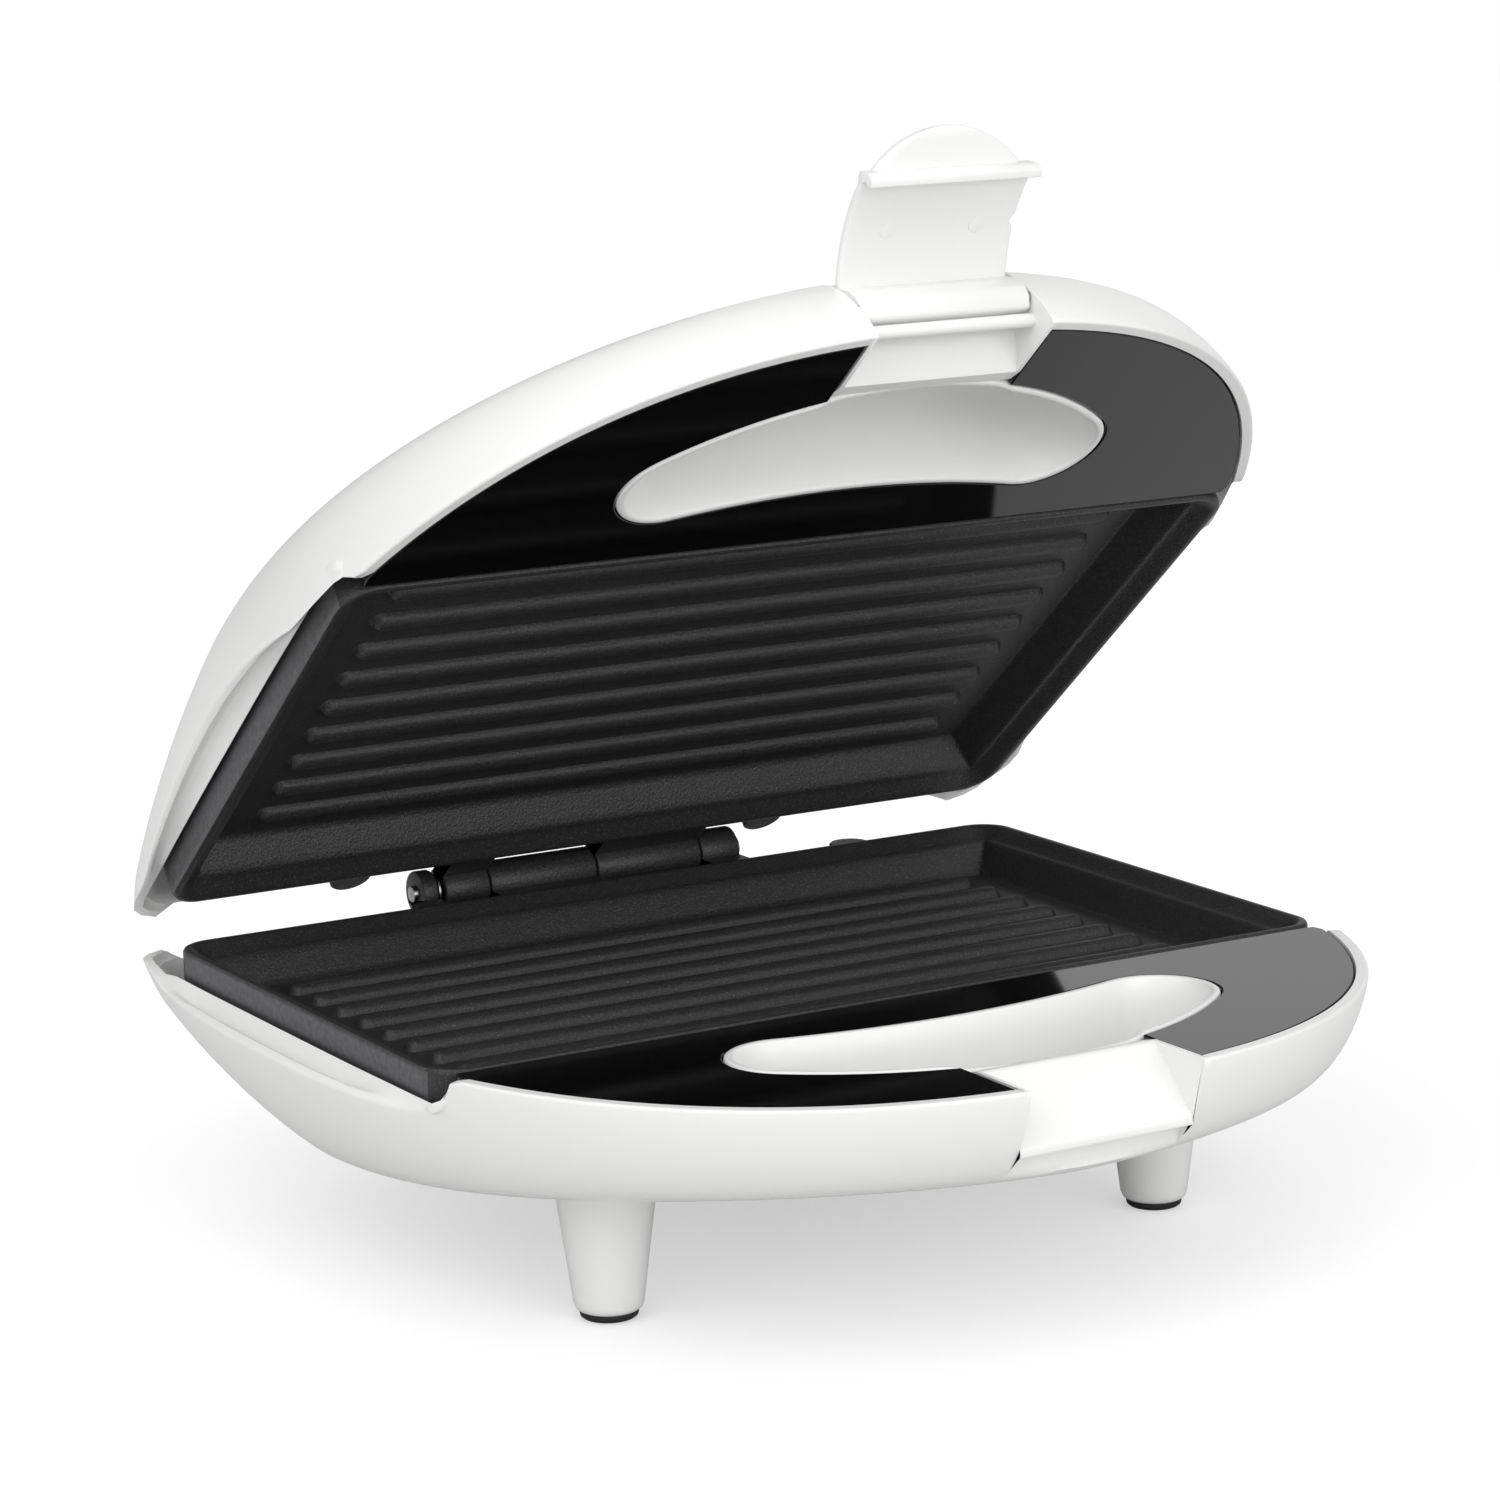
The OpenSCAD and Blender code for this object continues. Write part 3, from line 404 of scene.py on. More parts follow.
def rim_columns():
    """Angles of all columns, and 1 where a column has the channel's section."""
    t = np.linspace(0, 2 * np.pi, 300, endpoint=False)
    right, left = rim_angle(NOTCH), rim_angle(-NOTCH)
    near = rim_angle(np.array([-26.5, -24.0, -22.75, -22.6, 22.6, 22.75, 24.0, 26.5]))
    t = t[(t < left - 0.012) | (t > right + 0.012)]
    outside = np.concatenate([t, near, [left, right]])
    inside = np.linspace(left, right, 13)
    t = np.concatenate([outside, inside])
    kind = np.concatenate([np.zeros(len(outside)), np.ones(len(inside))])
    side = np.where(t < 1.5 * np.pi, 1, -1) * kind  # the channel's column comes second on the left
    order = np.lexsort((side, np.round(t, 9)))
    return t[order], kind[order]


def crease_base(y):
    """Depth of the line where the base's shoulder meets its outside."""
    return 10.0 - 1.2 * step(-128, -142, y)


def crease_lid(y):
    """The lid's shoulder is a flute: its outer line dips in the middle and rises at both ends."""
    return np.maximum(3.2, 11.6 - 8.1 * ((y + 65) / 55) ** 2)


SKIN_STEPS, WALL_STEPS = 16, 17
LAND = np.array([0.3, 0.4, 0.5, 0.6, 0.7, 0.78, 0.86, 0.94])


def shell_rim(t, crease):
    """The rim's points, its inward normal, and how far each column is shoulder, horn and rear."""
    u, v, cut = unit_rim(t)
    rx, ry = A * u * cut, YC + np.where(v < 0, FRONT, REAR) * v * cut
    dx, dy = np.gradient(rx, edge_order=2), np.gradient(ry, edge_order=2)
    idx = np.where(np.hypot(dx, dy) > 1e-6)[0]
    dx, dy = (np.interp(np.arange(len(t)), idx, d[idx]) for d in (dx, dy))
    norm = np.hypot(dx, dy)
    side = step(-146.5, -140.5, ry) * (abs(rx) > 90)
    horn = step(-6, 7, ry)
    rear = step(111.0, 107.6, abs(rx)) * (ry > 0)
    top = RIM_GAP + side * (crease(ry) - RIM_GAP)
    top = top * (1 - horn) + horn * 4.9
    top = top * (1 - rear) + rear * 9.0
    return rx, ry, v, -dy / norm, dx / norm, side, horn, rear, top


def shell_grid(crease, channel):
    """Points and faces of the shell. crease is the shoulder's line, channel the section of the
    latch channel as (y, h) from the skin up to the strip, which takes the place of the wall's rows
    above the slot. Rows: skin, wall, rounded edge, land or flute, lip, then the inside."""
    t, kind = rim_columns()
    rx, ry, v, nx, ny, side, horn, rear, top = shell_rim(t, crease)

    def skin(share):
        """Outside points at a share; near the channel the columns stay parallel."""
        w = step(60, 27, abs(rx)) * (v < 0)
        x = rx * ((1 - w) * share + w * np.minimum(1, share / 0.86))
        yf = YC - FRONT * (np.maximum(share ** N - abs(x / A) ** N, 0)) ** (1 / N)
        y = np.where(w > 0, yf, YC + (ry - YC) * share)
        return np.stack([x, y, shell_depth(share, x, y)], -1)

    rows = [skin(np.full(len(t), k)) for k in np.append(0, np.linspace(0.07, 0.86, SKIN_STEPS - 1))]
    top_share = share_at(top + 0.9)
    rows += [skin(0.86 + (top_share - 0.86) * k)
             for k in 1 - (1 - np.linspace(0, 1, WALL_STEPS + 1)[1:]) ** 1.5]
    corner = skin(share_at(top))
    corner[:, 2] = top
    inner = np.stack([rx + nx * 3.0, ry + ny * 3.0, np.full(len(t), RIM_GAP)], -1)
    shoulder = np.stack([np.sign(rx) * 116.0, ry, np.full(len(t), 6.5)], -1)
    behind = np.stack([corner[:, 0] + nx * WALL, corner[:, 1] + ny * WALL, top], -1)
    for other, mix in ((shoulder, side), (behind, np.maximum(horn, rear) * (ry > -20))):
        inner = inner * (1 - mix[:, None]) + other * mix[:, None]
    land = corner + (inner - corner) * 0.2
    rows += [(1 - k) ** 2 * rows[-1] + 2 * k * (1 - k) * corner + k * k * land for k in (0.3, 0.6)]
    rows.append(land)
    # the flute: lens-shaped along the shoulder, hollow between the crease and a thin ridge
    hollow = 2.3 * side * step(-124, -98, ry) * step(-4, -24, ry)
    for k in LAND:
        p = corner + (inner - corner) * k
        p[:, 2] += hollow * step(0.2, 0.5, k) * step(0.97, 0.74, k)
        rows.append(p)
    rows += [inner + (0, 0, 0.7), inner + (0, 0, 2.2)]
    # the inside: the outside moved in by the wall
    shrink = 1 - WALL / np.hypot(rx, ry - YC)
    top_in = np.minimum(share_at(top + 5.5), 0.985)
    first_in = len(rows)
    for k in np.concatenate([1 - 0.16 * np.linspace(0, 1, 6) ** 1.2, np.linspace(0.76, 0, 9)]):
        p = skin(top_in * k)
        lift = WALL * np.minimum(1, p[:, 2] / 14)
        rows.append(np.stack([p[:, 0] * shrink, YC + (p[:, 1] - YC) * shrink, p[:, 2] - lift], -1))
    grid = np.stack(rows, 1)

    # the channel's section, from the slot's edge in the skin to the strip
    inside = np.where(kind > 0)[0]
    last = SKIN_STEPS + WALL_STEPS + 2  # the row of the section's last point
    first = last + 1 - len(channel)
    grid[inside, first:last + 1, 0] = rx[inside, None]
    grid[inside, first:last + 1, 1:] = channel
    # the strip behind the channel; the white lips beside it reach back to the same strip
    lips = np.where((kind == 0) & (v < 0) & (abs(rx) < 22.7))[0]
    grid[lips, last - 2] = (grid[lips, last - 2] + grid[lips, last]) / 2
    grid[lips, last - 1] = grid[lips, last]
    both = np.concatenate([inside, lips])
    grid[both, last, 0] = rx[both]
    grid[both, last, 1:] = channel[-1]
    k = np.linspace(0, 1, len(LAND) + 1)[1:, None]
    strip = np.vstack([channel[-1] + (np.array([-199.0, channel[-1, 1] + 1.0]) - channel[-1]) * k,
                       [(-199.0, 2.1), (-199.0, 3.4)]])
    grid[both, last + 1:first_in, 0] = rx[both, None]
    grid[both, last + 1:first_in, 1:] = strip
    # behind the channel the inside follows it, a wall's thickness away
    near = np.where((abs(rx) < 25.0) & (v < 0))[0]
    f = np.linspace(0, 1, 7)
    grid[near, first_in:first_in + 7, 0] = rx[near, None]
    grid[near, first_in:first_in + 7, 1] = np.interp(f, [0, 0.5, 1], [-199.6, -206.0, -208.0])
    grid[near, first_in:first_in + 7, 2] = np.interp(f, [0, 0.5, 1], [4.5, 14.0, 20.0])

    # faces: quads, but each cheek is one flat face between its two columns
    cols = grid.shape[1]
    faces = grid_faces(*grid.shape[:2], close_rows=True)
    pairs = np.where(kind[:-1] != kind[1:])[0]
    column, row = np.divmod(np.arange(len(faces)), cols - 1)
    flat = np.isin(column, pairs) & (row >= first - 1) & (row < last)
    cheek = [list(range(c * cols + first - 1, c * cols + last + 1))
             + list(range((c + 1) * cols + last - 1, (c + 1) * cols + first - 1, -1)) for c in pairs]
    return grid, faces[~flat].tolist() + cheek


# %% [markdown]
# ### Base shell and lid shell
# Both come out of near-identical tools. The base has a sloping channel that ends in the catch the
# latch hooks under. The lid's channel is concave, and the skin in front of it is cut right
# through, so that the open latch can swing past.

# %% Shells
base_channel = rounded([(-211.9, 20.0), (-213.4, 15.8), (-217.4, 15.6), (-217.4, 13.6),
                        (-203.9, 0.5), (STRIP_Y + 0.4, 0.3)], 0.55, 3)
lid_channel = rounded([(-207.6, 22.5), (-208.6, 18.0), (-209.5, 13.0), (-209.0, 8.6),
                       (-207.2, 4.6), (-204.4, 1.3), (STRIP_Y, 0.35)], 1.6, 3)
for side, crease, section, place in (("base", crease_base, base_channel, on_base),
                                    ("lid", crease_lid, lid_channel, on_lid)):
    piece(f"{side}_shell_skin", side, white_abs, [shell_grid(crease, section)],
          place, [f"{side}_shell"], angle=50)

# %% [markdown]
# ## Finger recesses
# A crescent pocket lets fingertips part the halves. Its outline is four arcs that meet tangent to
# each other. The pocket is one closed surface: under the floor, up outside the ring wall, over the
# lip, down inside, round the fillet and across the floor to the crescent's middle line.

# %% Crescent outline and pocket
END_X, END_Y, END_R = 47.0, -169.0, 12.0
FRONT_C, FRONT_R, BACK_C, BACK_R = -114.5, 84.0, 12.0, 175.0


def crescent(d, counts=(26, 34, 26, 44)):
    """The crescent's outline grown by d, anticlockwise: right end, back arc, left end, front arc."""
    low = math.atan2(END_Y - FRONT_C, END_X)
    high = math.atan2(BACK_C - END_Y, -END_X)
    arcs = ((END_X, END_Y, END_R + d, low, high),
            (0, BACK_C, BACK_R - d, high - math.pi, -high),
            (-END_X, END_Y, END_R + d, math.pi - high, math.pi - low),
            (0, FRONT_C, FRONT_R + d, math.pi - low, 2 * math.pi + low))
    out = []
    for (cx, cy, r, a, b), n in zip(arcs, counts):
        w = np.linspace(a, b, n, endpoint=False)
        out.append(np.stack([cx + r * np.cos(w), cy + r * np.sin(w)], 1))
    return np.vstack(out)


def pocket():
    """Closed surface of the pocket: outline by section."""
    ring = crescent(0.0)
    n = len(ring)
    strip = step(NOTCH + 3.5, NOTCH - 1.5, abs(ring[:, 0])) * (ring[:, 1] < -185)
    lip_h = RIM_GAP + 0.95 * strip  # the lip sinks where the channel's strip meets it
    centre = np.stack([np.clip(ring[:, 0], -END_X, END_X), np.zeros(n)], 1)
    front = FRONT_C - np.sqrt(np.maximum((FRONT_R - END_R) ** 2 - centre[:, 0] ** 2, 0))
    back = BACK_C - np.sqrt((BACK_R + END_R) ** 2 - centre[:, 0] ** 2)
    centre[:, 1] = (front + back) / 2
    fillet = 8.0

    def at(d, h):
        p = crescent(d)
        return np.stack([p[:, 0], p[:, 1], h if np.ndim(h) else np.full(n, h)], 1)

    def floor(p, extra=0.0):
        return skin_depth(p[..., 0], p[..., 1]) - WALL - 1.5 + extra

    rows = []
    for d, h in ((2.0, 6.0), (2.0, 1.0), (1.85, 0.25), (1.5, 0.0), (0.7, 0.0), (0.25, 0.15),
                 (0.0, 0.6)):
        rows.append(at(d, lip_h + h))
    bottom = floor(at(-4, 0))
    for k in (0.3, 0.6, 0.85, 1.0):
        h = lip_h + 0.6 + (bottom - fillet - lip_h - 0.6) * k
        rows.append(at(-1.2 * k, h))
    for a in np.linspace(0, np.pi / 2, 8)[1:]:
        p = at(-1.2 - fillet * (1 - math.cos(a)), 0)
        p[:, 2] = bottom - fillet * (1 - math.sin(a))
        rows.append(p)
    last = rows[-1]
    for k in (0.3, 0.6, 0.85, 1.0):
        p = last.copy()
        p[:, :2] += (centre - last[:, :2]) * k
        p[:, 2] = (1 - k) * (last[:, 2]) + k * floor(p)
        rows.append(p)
    for k in (1.0, 0.5, 0.0):
        p = last.copy()
        p[:, :2] += (centre - last[:, :2]) * k
        p[:, 2] = (1 - k) * last[:, 2] + k * floor(p) + 1.1
        rows.append(p)
    for k in (0.5, 1.0):
        p = at(-9.2 + 11.2 * k, 0)
        p[:, 2] = last[:, 2] + 1.1 - (fillet + 2) * k * k
        rows.append(p)
    return np.stack(rows, 1)


for side, place in (("base", on_base), ("lid", on_lid)):
    points = pocket()
    piece(f"{side}_finger_pocket", side, white_abs,
          [(points, grid_faces(*points.shape[:2], close_rows=True, close_cols=True))], place,
          angle=60)

# %% [markdown]
# ## Bezels
# A black trim plate fills each half in front of the grill. It is C-shaped: the recess opens into
# the latch's notch. Its top is a flat grid between the recess's edge and the outer rim; the grid is
# made a closed slab for thickness, and Bevel softens its edges, because that is all a flat trim
# needs.

# %% Bezels
BEZEL_H, BEZEL_T, BEZEL_BACK, BEZEL_GAP = 0.5, 2.2, -141.0, 3.4


def bezel_grid():
    """Top of the trim plate: round the C by from the recess's edge to the outer edge."""
    inner = crescent(2.35)
    gap = NOTCH + 1.35
    keep = ~((abs(inner[:, 0]) < gap) & (inner[:, 1] < -185))
    start = np.where(keep & ~np.roll(keep, 1))[0][0]
    inner = np.roll(inner, -start, axis=0)[: keep.sum()]
    front_r = FRONT_R + 2.35
    y_edge = FRONT_C - math.sqrt(front_r ** 2 - gap ** 2)
    inner = np.vstack([[gap, y_edge], inner, [-gap, y_edge]])
    # the outer edge: along the rim, then straight across behind the recess
    x = np.concatenate([gap + (A - gap) * np.linspace(0, 1, 90) ** 0.8])
    t = rim_angle(np.minimum(x, A * 0.9999))
    u, v, _ = unit_rim(t)
    rx, ry = A * u, YC + FRONT * v
    gx, gy = abs(rx / A) ** (N - 1) / A, -(abs((ry - YC) / FRONT) ** (N - 1)) / FRONT
    g = np.hypot(gx, gy)
    ox, oy = rx - gx / g * BEZEL_GAP, ry - gy / g * BEZEL_GAP
    ok = oy < BEZEL_BACK - 1.6
    right = np.vstack([[gap, np.interp(gap, ox, oy)], np.stack([ox, oy], 1)[ok & (ox > gap + 0.5)]])
    tip = right[-1]
    corner = np.array([[tip[0] + 0.35, tip[1] + 0.9], [tip[0] - 0.1, BEZEL_BACK - 0.2],
                       [tip[0] - 1.0, BEZEL_BACK]])
    across = np.stack([np.linspace(tip[0] - 4, -tip[0] + 4, 60), np.full(60, BEZEL_BACK)], 1)
    mirror = np.array([-1.0, 1.0])
    outer = np.vstack([right, corner, across, corner[::-1] * mirror, right[::-1] * mirror])

    def resample(line, knots, counts):
        """A line cut at its knots and given so many points in each stretch."""
        d = np.concatenate([[0], np.cumsum(np.hypot(*np.diff(line, axis=0).T))])
        stops = [0] + [d[np.argmin(np.hypot(*(line - k).T))] for k in knots] + [d[-1]]
        s = np.concatenate([np.linspace(a, b, n, endpoint=False)
                            for a, b, n in zip(stops[:-1], stops[1:], counts)] + [[d[-1]]])
        return np.stack([np.interp(s, d, line[:, 0]), np.interp(s, d, line[:, 1])], 1)

    tip_in = np.array([END_X + END_R + 1.4, END_Y + 6.0])
    counts = (44, 60, 44)
    a = resample(inner, [tip_in, tip_in * mirror], counts)
    b = resample(outer, [corner[1], corner[1] * mirror], counts)
    k = np.linspace(0, 1, 7)[None, :, None]
    flat = a[:, None] * (1 - k) + b[:, None] * k
    return np.concatenate([flat, np.full(flat.shape[:2] + (1,), BEZEL_H)], -1)


def slab(top, thickness):
    """A flat grid given thickness: top, bottom and the edge between, as one closed surface."""
    rows, cols = top.shape[:2]
    low = top.copy()
    low[..., 2] += thickness
    f = grid_faces(rows, cols)
    ring = np.concatenate([np.arange(cols), np.arange(1, rows) * cols + cols - 1,
                           (rows - 1) * cols + np.arange(cols - 2, -1, -1),
                           np.arange(rows - 2, 0, -1) * cols])
    nxt = np.roll(ring, -1)
    edge = np.stack([ring, nxt, nxt + rows * cols, ring + rows * cols], 1)
    return np.stack([top, low]), np.vstack([f, f[:, ::-1] + rows * cols, edge])


for side, place in (("base", on_base), ("lid", on_lid)):
    piece(f"{side}_trim_plate", side, black_abs, [slab(bezel_grid(), BEZEL_T)],
          place, [f"{side}_bezel"], angle=30, bevel=0.3)

# %% [markdown]
# ## Grill plates
# A die-cast tray: a flat rim, a slope, a narrow ledge, a second slope and a ribbed floor. All of
# that is a height over a plan: the tray depends on the distance to the outline, and each rib adds
# a round ridge. Corners are soft because the casting and its coat are.

# %% Grill plates
PLATE_W, PLATE_D, PLATE_R, PLATE_H = 230.0, 140.0, 9.0, 14.5
RIB_R, RIB_TOP, RIB_FIRST, RIB_PITCH, RIB_HALF = 2.6, 8.45, -21.3, 12.3, 94.6


def spaced(stops, gaps):
    """Grid lines between stops, each stretch divided into the given number of gaps."""
    return np.concatenate([np.linspace(a, b, n, endpoint=False)
                           for a, b, n in zip(stops[:-1], stops[1:], gaps)] + [[stops[-1]]])


def plate_lines():
    """Grid lines along x and y, dense over the rim's slopes, the ribs and the ribs' ends."""
    edge = np.array([0, 0.35, 0.8, 1.3, 1.7, 2.2, 3.0, 4.0, 5.0, 5.6, 6.1, 6.6, 7.2, 8.2, 9.0, 9.8,
                     10.8, 11.6, 12.2, 12.8, 13.6, 15.0])
    half = PLATE_W / 2
    ends = spaced([half - 15.0, RIB_HALF + 0.6, RIB_HALF - 3.2, 70, 0], (4, 12, 3, 6))[1:]
    x = np.concatenate([half - edge, ends])
    x = np.concatenate([-x, x[:-1][::-1]])
    y = [edge - PLATE_D, -edge[::-1]]
    rib = np.array([-3.4, -2.9, -2.6, -2.35, -2.0, -1.5, -0.9, -0.3, 0.3, 0.9, 1.5, 2.0, 2.35, 2.6,
                    2.9, 3.4])
    for i in range(9):
        y.append(RIB_FIRST - i * RIB_PITCH + rib)
    y = np.unique(np.round(np.concatenate(y), 4))
    return x, y


def tray_height(d):
    """Height over the distance d in from the outline: rim, slope, ledge, slope, floor."""
    stops = [0, 0.25, 0.7, 1.5, 1.9, 5.4, 5.9, 6.5, 6.9, 11.6, 12.2, 30]
    levels = [1.1, 0.55, 0.3, 0.3, 0.42, 3.1, 3.35, 3.42, 3.6, 10.75, 11.0, 11.0]
    return np.interp(d, stops, levels)


def plate_surface():
    """The whole tray as one closed surface: the ribbed top, the flank and the flat underside."""
    gx, gy = plate_lines()
    x, y = (a.T for a in np.meshgrid(gx, gy))
    half_x, half_y = PLATE_W / 2, PLATE_D / 2
    yy = y + half_y
    # squeeze the square corners of the grid into quarter discs
    ax, ay = abs(x) - (half_x - PLATE_R), abs(yy) - (half_y - PLATE_R)
    corner = (ax > 0) & (ay > 0)
    square, disc = np.maximum(ax, ay), np.hypot(ax, ay)
    k = np.where(corner, square / np.where(disc > 0, disc, 1), 1)
    x = np.where(corner, np.sign(x) * (half_x - PLATE_R + ax * k), x)
    yy = np.where(corner, np.sign(yy) * (half_y - PLATE_R + ay * k), yy)
    qx, qy = abs(x) - (half_x - PLATE_R), abs(yy) - (half_y - PLATE_R)
    d = PLATE_R - (np.hypot(np.maximum(qx, 0), np.maximum(qy, 0)) + np.minimum(np.maximum(qx, qy), 0))
    # inner slopes meet in tighter corners than the outline
    inner = np.minimum(half_x - abs(x), half_y - abs(yy))
    h = tray_height(np.where(d > 5.5, np.minimum(d + 1.2, inner), d))
    y = yy - half_y
    ridge = np.full(x.shape, 99.0)
    for i in range(9):
        across = y - (RIB_FIRST - i * RIB_PITCH)
        past = np.maximum(abs(x) - (RIB_HALF - RIB_R), 0)
        r2 = across ** 2 + past ** 2
        dome = RIB_TOP + RIB_R - np.sqrt(np.maximum(RIB_R ** 2 - r2, 0))
        ridge = np.where(r2 < RIB_R ** 2, np.minimum(ridge, dome), ridge)
    top = np.stack([x, y, smooth_min(h, np.minimum(ridge, 20.0), 0.5)], -1)
    rows, cols = x.shape
    f = [list(r) for r in grid_faces(rows, cols)]
    ring = np.concatenate([np.arange(cols), np.arange(1, rows) * cols + cols - 1,
                           (rows - 1) * cols + np.arange(cols - 2, -1, -1),
                           np.arange(rows - 2, 0, -1) * cols])
    border = top.reshape(-1, 3)[ring]
    out = [top.reshape(-1, 3)]
    start, prev = rows * cols, ring
    for h in (1.8, 4.0, 8.0, 9.0, 11.5, 14.0, PLATE_H):  # the underside slopes in from 9 mm
        p = border.copy()
        inset = 4.0 * max(0, h - 9) / (PLATE_H - 9)
        p[:, 0] *= 1 - inset / half_x
        p[:, 1] = (p[:, 1] + half_y) * (1 - inset / half_y) - half_y
        p[:, 2] = h
        out.append(p)
        now = start + np.arange(len(ring))
        f += np.stack([prev, np.roll(prev, -1), np.roll(now, -1), now], 1).tolist()
        start, prev = start + len(ring), now
    f.append(prev.tolist())
    return np.vstack(out), f


def half_disc(x, r=5.2, h0=0.45, h1=3.9):
    """A half-round casting tab on the rear edge, with eased edges."""
    a = np.linspace(0, np.pi, 20)
    rows = []
    for k, h in ((0.93, h0), (1.0, h0 + 0.35), (1.0, h1 - 0.35), (0.93, h1)):
        arc = np.stack([x + r * k * np.cos(a), r * k * np.sin(a), np.full(20, h)], 1)
        back = arc[::-1].copy()
        back[:, 1] = -2.0
        rows.append(np.vstack([arc, back]))
    p = np.array(rows)
    n = p.shape[1]
    f = [list(r) for r in grid_faces(4, n, close_cols=True)]
    return p, f + [list(range(n)), list(range(3 * n, 4 * n))]


def knuckle_outline(r=5.5, arm=(0.9, 5.4), root=-1.5):
    """A barrel and its arm as one keyhole-shaped outline in (y, h)."""
    a0 = math.asin(arm[0] / r)
    a1 = math.asin(min(arm[1] / r, 0.99))
    sweep = np.linspace(math.pi - a0, math.pi - a1 - 2 * math.pi, 46)
    circle = np.stack([HINGE_BACK + r * np.cos(sweep), r * np.sin(sweep)], 1)
    return np.vstack([[root, arm[0]], circle, [root, arm[1]]])


spans = {"base": ((-45.5, -41.6), (-27.1, 2.2), (32.3, 43.0)), "lid": ((-39.5, -27.5), (2.6, 31.9))}
tabs = {"base": (-46.5, 71.6), "lid": (-66.5, 48.0)}
for side, place in (("base", on_base), ("lid", on_lid)):
    tray = plate_surface()
    flank = piece(f"{side}_grill_plate", side, non_stick, [tray], place,
                  [f"{side}_plate"], angle=35)
    flank.data.materials.append(cast_flank)
    # the left and right flanks were linished bare before the rim was sprayed
    mesh = flank.data
    n = np.zeros(len(mesh.polygons) * 3)
    c = np.zeros(len(mesh.polygons) * 3)
    mesh.polygons.foreach_get("normal", n)
    mesh.polygons.foreach_get("center", c)
    n, c = n.reshape(-1, 3), c.reshape(-1, 3)
    bare = (abs(n[:, 0]) > 0.8) & (abs(c[:, 0]) > (PLATE_W / 2 - 0.6) * MM)
    mesh.polygons.foreach_set("material_index", bare.astype(np.int32))
    parts = [half_disc(x) for x in tabs[side]]
    parts += [prism(knuckle_outline(), a, b, 0.5) for a, b in spans[side]]
    for n_part, part in enumerate(parts):
        kind = "tab" if n_part < 2 else "knuckle"
        piece(f"{side}_{kind}_{n_part}", side, non_stick, [part], place, angle=35)

# %% [markdown]
# ## Hinge pin and clip
# A 4 mm rod runs through all five knuckles, with a rolled head at one end and a spring clip at the
# other. Both are turned shapes, drawn as a profile spun round the hinge axis.

# %% Hinge pin and clip
pin = rounded([(0, -46.6), (2.0, -46.6), (2.0, 43.1), (3.2, 43.1), (3.2, 44.5), (0, 44.5)], 0.35, 3)
piece("hinge_rod", "base", zinc_steel, [lathe(pin, 32, (HINGE_BACK, 0.0), "x")], on_base,
      ["hinge_pin"])
a = np.linspace(0, 2 * np.pi, 12, endpoint=False)
ring = np.stack([3.12 + 1.08 * np.sign(np.cos(a)) * abs(np.cos(a)) ** 0.5,
                 -40.5 + 0.4 * np.sign(np.sin(a)) * abs(np.sin(a)) ** 0.5], 1)
p, _ = lathe(ring, 48, (HINGE_BACK, 0.0), "x")
piece("hinge_spring_clip", "base", zinc_steel,
      [(p, grid_faces(48, 12, close_rows=True, close_cols=True))], on_base, ["hinge_clip"])

# %% [markdown]
# ## Latch
# A curved plate that flips up out of the way. It is drawn closed: an arc down from the thick root
# that holds the pin, then a straight finger tab with a round end, and a thin lip that turns up
# behind the catch. Two round ejector marks stay on the inner face.

# %% Latch
ARC_C, ARC_R, LATCH_T, LATCH_W = (-184.4, 7.5), 43.0, 2.4, 42.0
TAB_Y, TAB_TOP, TAB_END = -218.95, -18.0, -27.4


def latch_middle(h):
    """The middle of the plate's thickness at height h: an arc that turns into a straight tab."""
    arc = ARC_C[0] - np.sqrt((ARC_R - LATCH_T / 2) ** 2 - (h - ARC_C[1]) ** 2)
    w = step(-14.5, -17.5, h)
    return arc * (1 - w) + TAB_Y * w


def latch_plate():
    """Plate: round its section, along the arc and the tab. The section is an oblong with rounded
    edges: x = W cos(s)^0.16 and n = T sin(s)^0.45. The tab's half width W is a circle."""
    h = np.concatenate([np.linspace(8.2, TAB_TOP + 0.05, 30), TAB_TOP + (TAB_END - TAB_TOP)
                        * np.sin(np.linspace(0, np.pi / 2, 24))])
    y = latch_middle(h)
    slope = latch_middle(h + 0.05) - latch_middle(h - 0.05)
    norm = np.hypot(slope, 0.1)
    ny, nh = -0.1 / norm, slope / norm
    dome = np.sqrt(np.maximum(23.4 ** 2 - (h + 4.0) ** 2, 0.04))
    w = np.where(h > TAB_TOP, LATCH_W / 2, dome)
    nick = 1.2 * np.exp(-((h + 5.6) / 1.0) ** 2)  # the right edge, where the tool's slide closed
    down = np.clip((TAB_TOP - h) / (TAB_TOP - TAB_END), 0, 1)
    thick = LATCH_T / 2 * np.maximum(np.sqrt(1 - down ** 10 * 0.94), 0.25)
    s = np.linspace(0, 2 * np.pi, 56, endpoint=False)
    px = np.sign(np.cos(s)) * abs(np.cos(s)) ** 0.16
    pn = np.sign(np.sin(s)) * abs(np.sin(s)) ** 0.45
    x = px * (w[:, None] - np.where(px > 0.6, nick[:, None], 0))
    n = pn * thick[:, None]
    p = np.stack([x, y[:, None] + ny[:, None] * n, h[:, None] + nh[:, None] * n], -1)
    f = [list(r) for r in grid_faces(len(h), 56, close_cols=True)]
    return p, f + [list(range(56)), list(range((len(h) - 1) * 56, len(h) * 56))]


def bar(y, h, r, x0, x1, ease=0.4):
    """A round bar along x with eased ends."""
    prof = rounded([(0, x0), (r, x0), (r, x1), (0, x1)], ease, 4)
    return lathe(prof, 40, (y, h), "x")


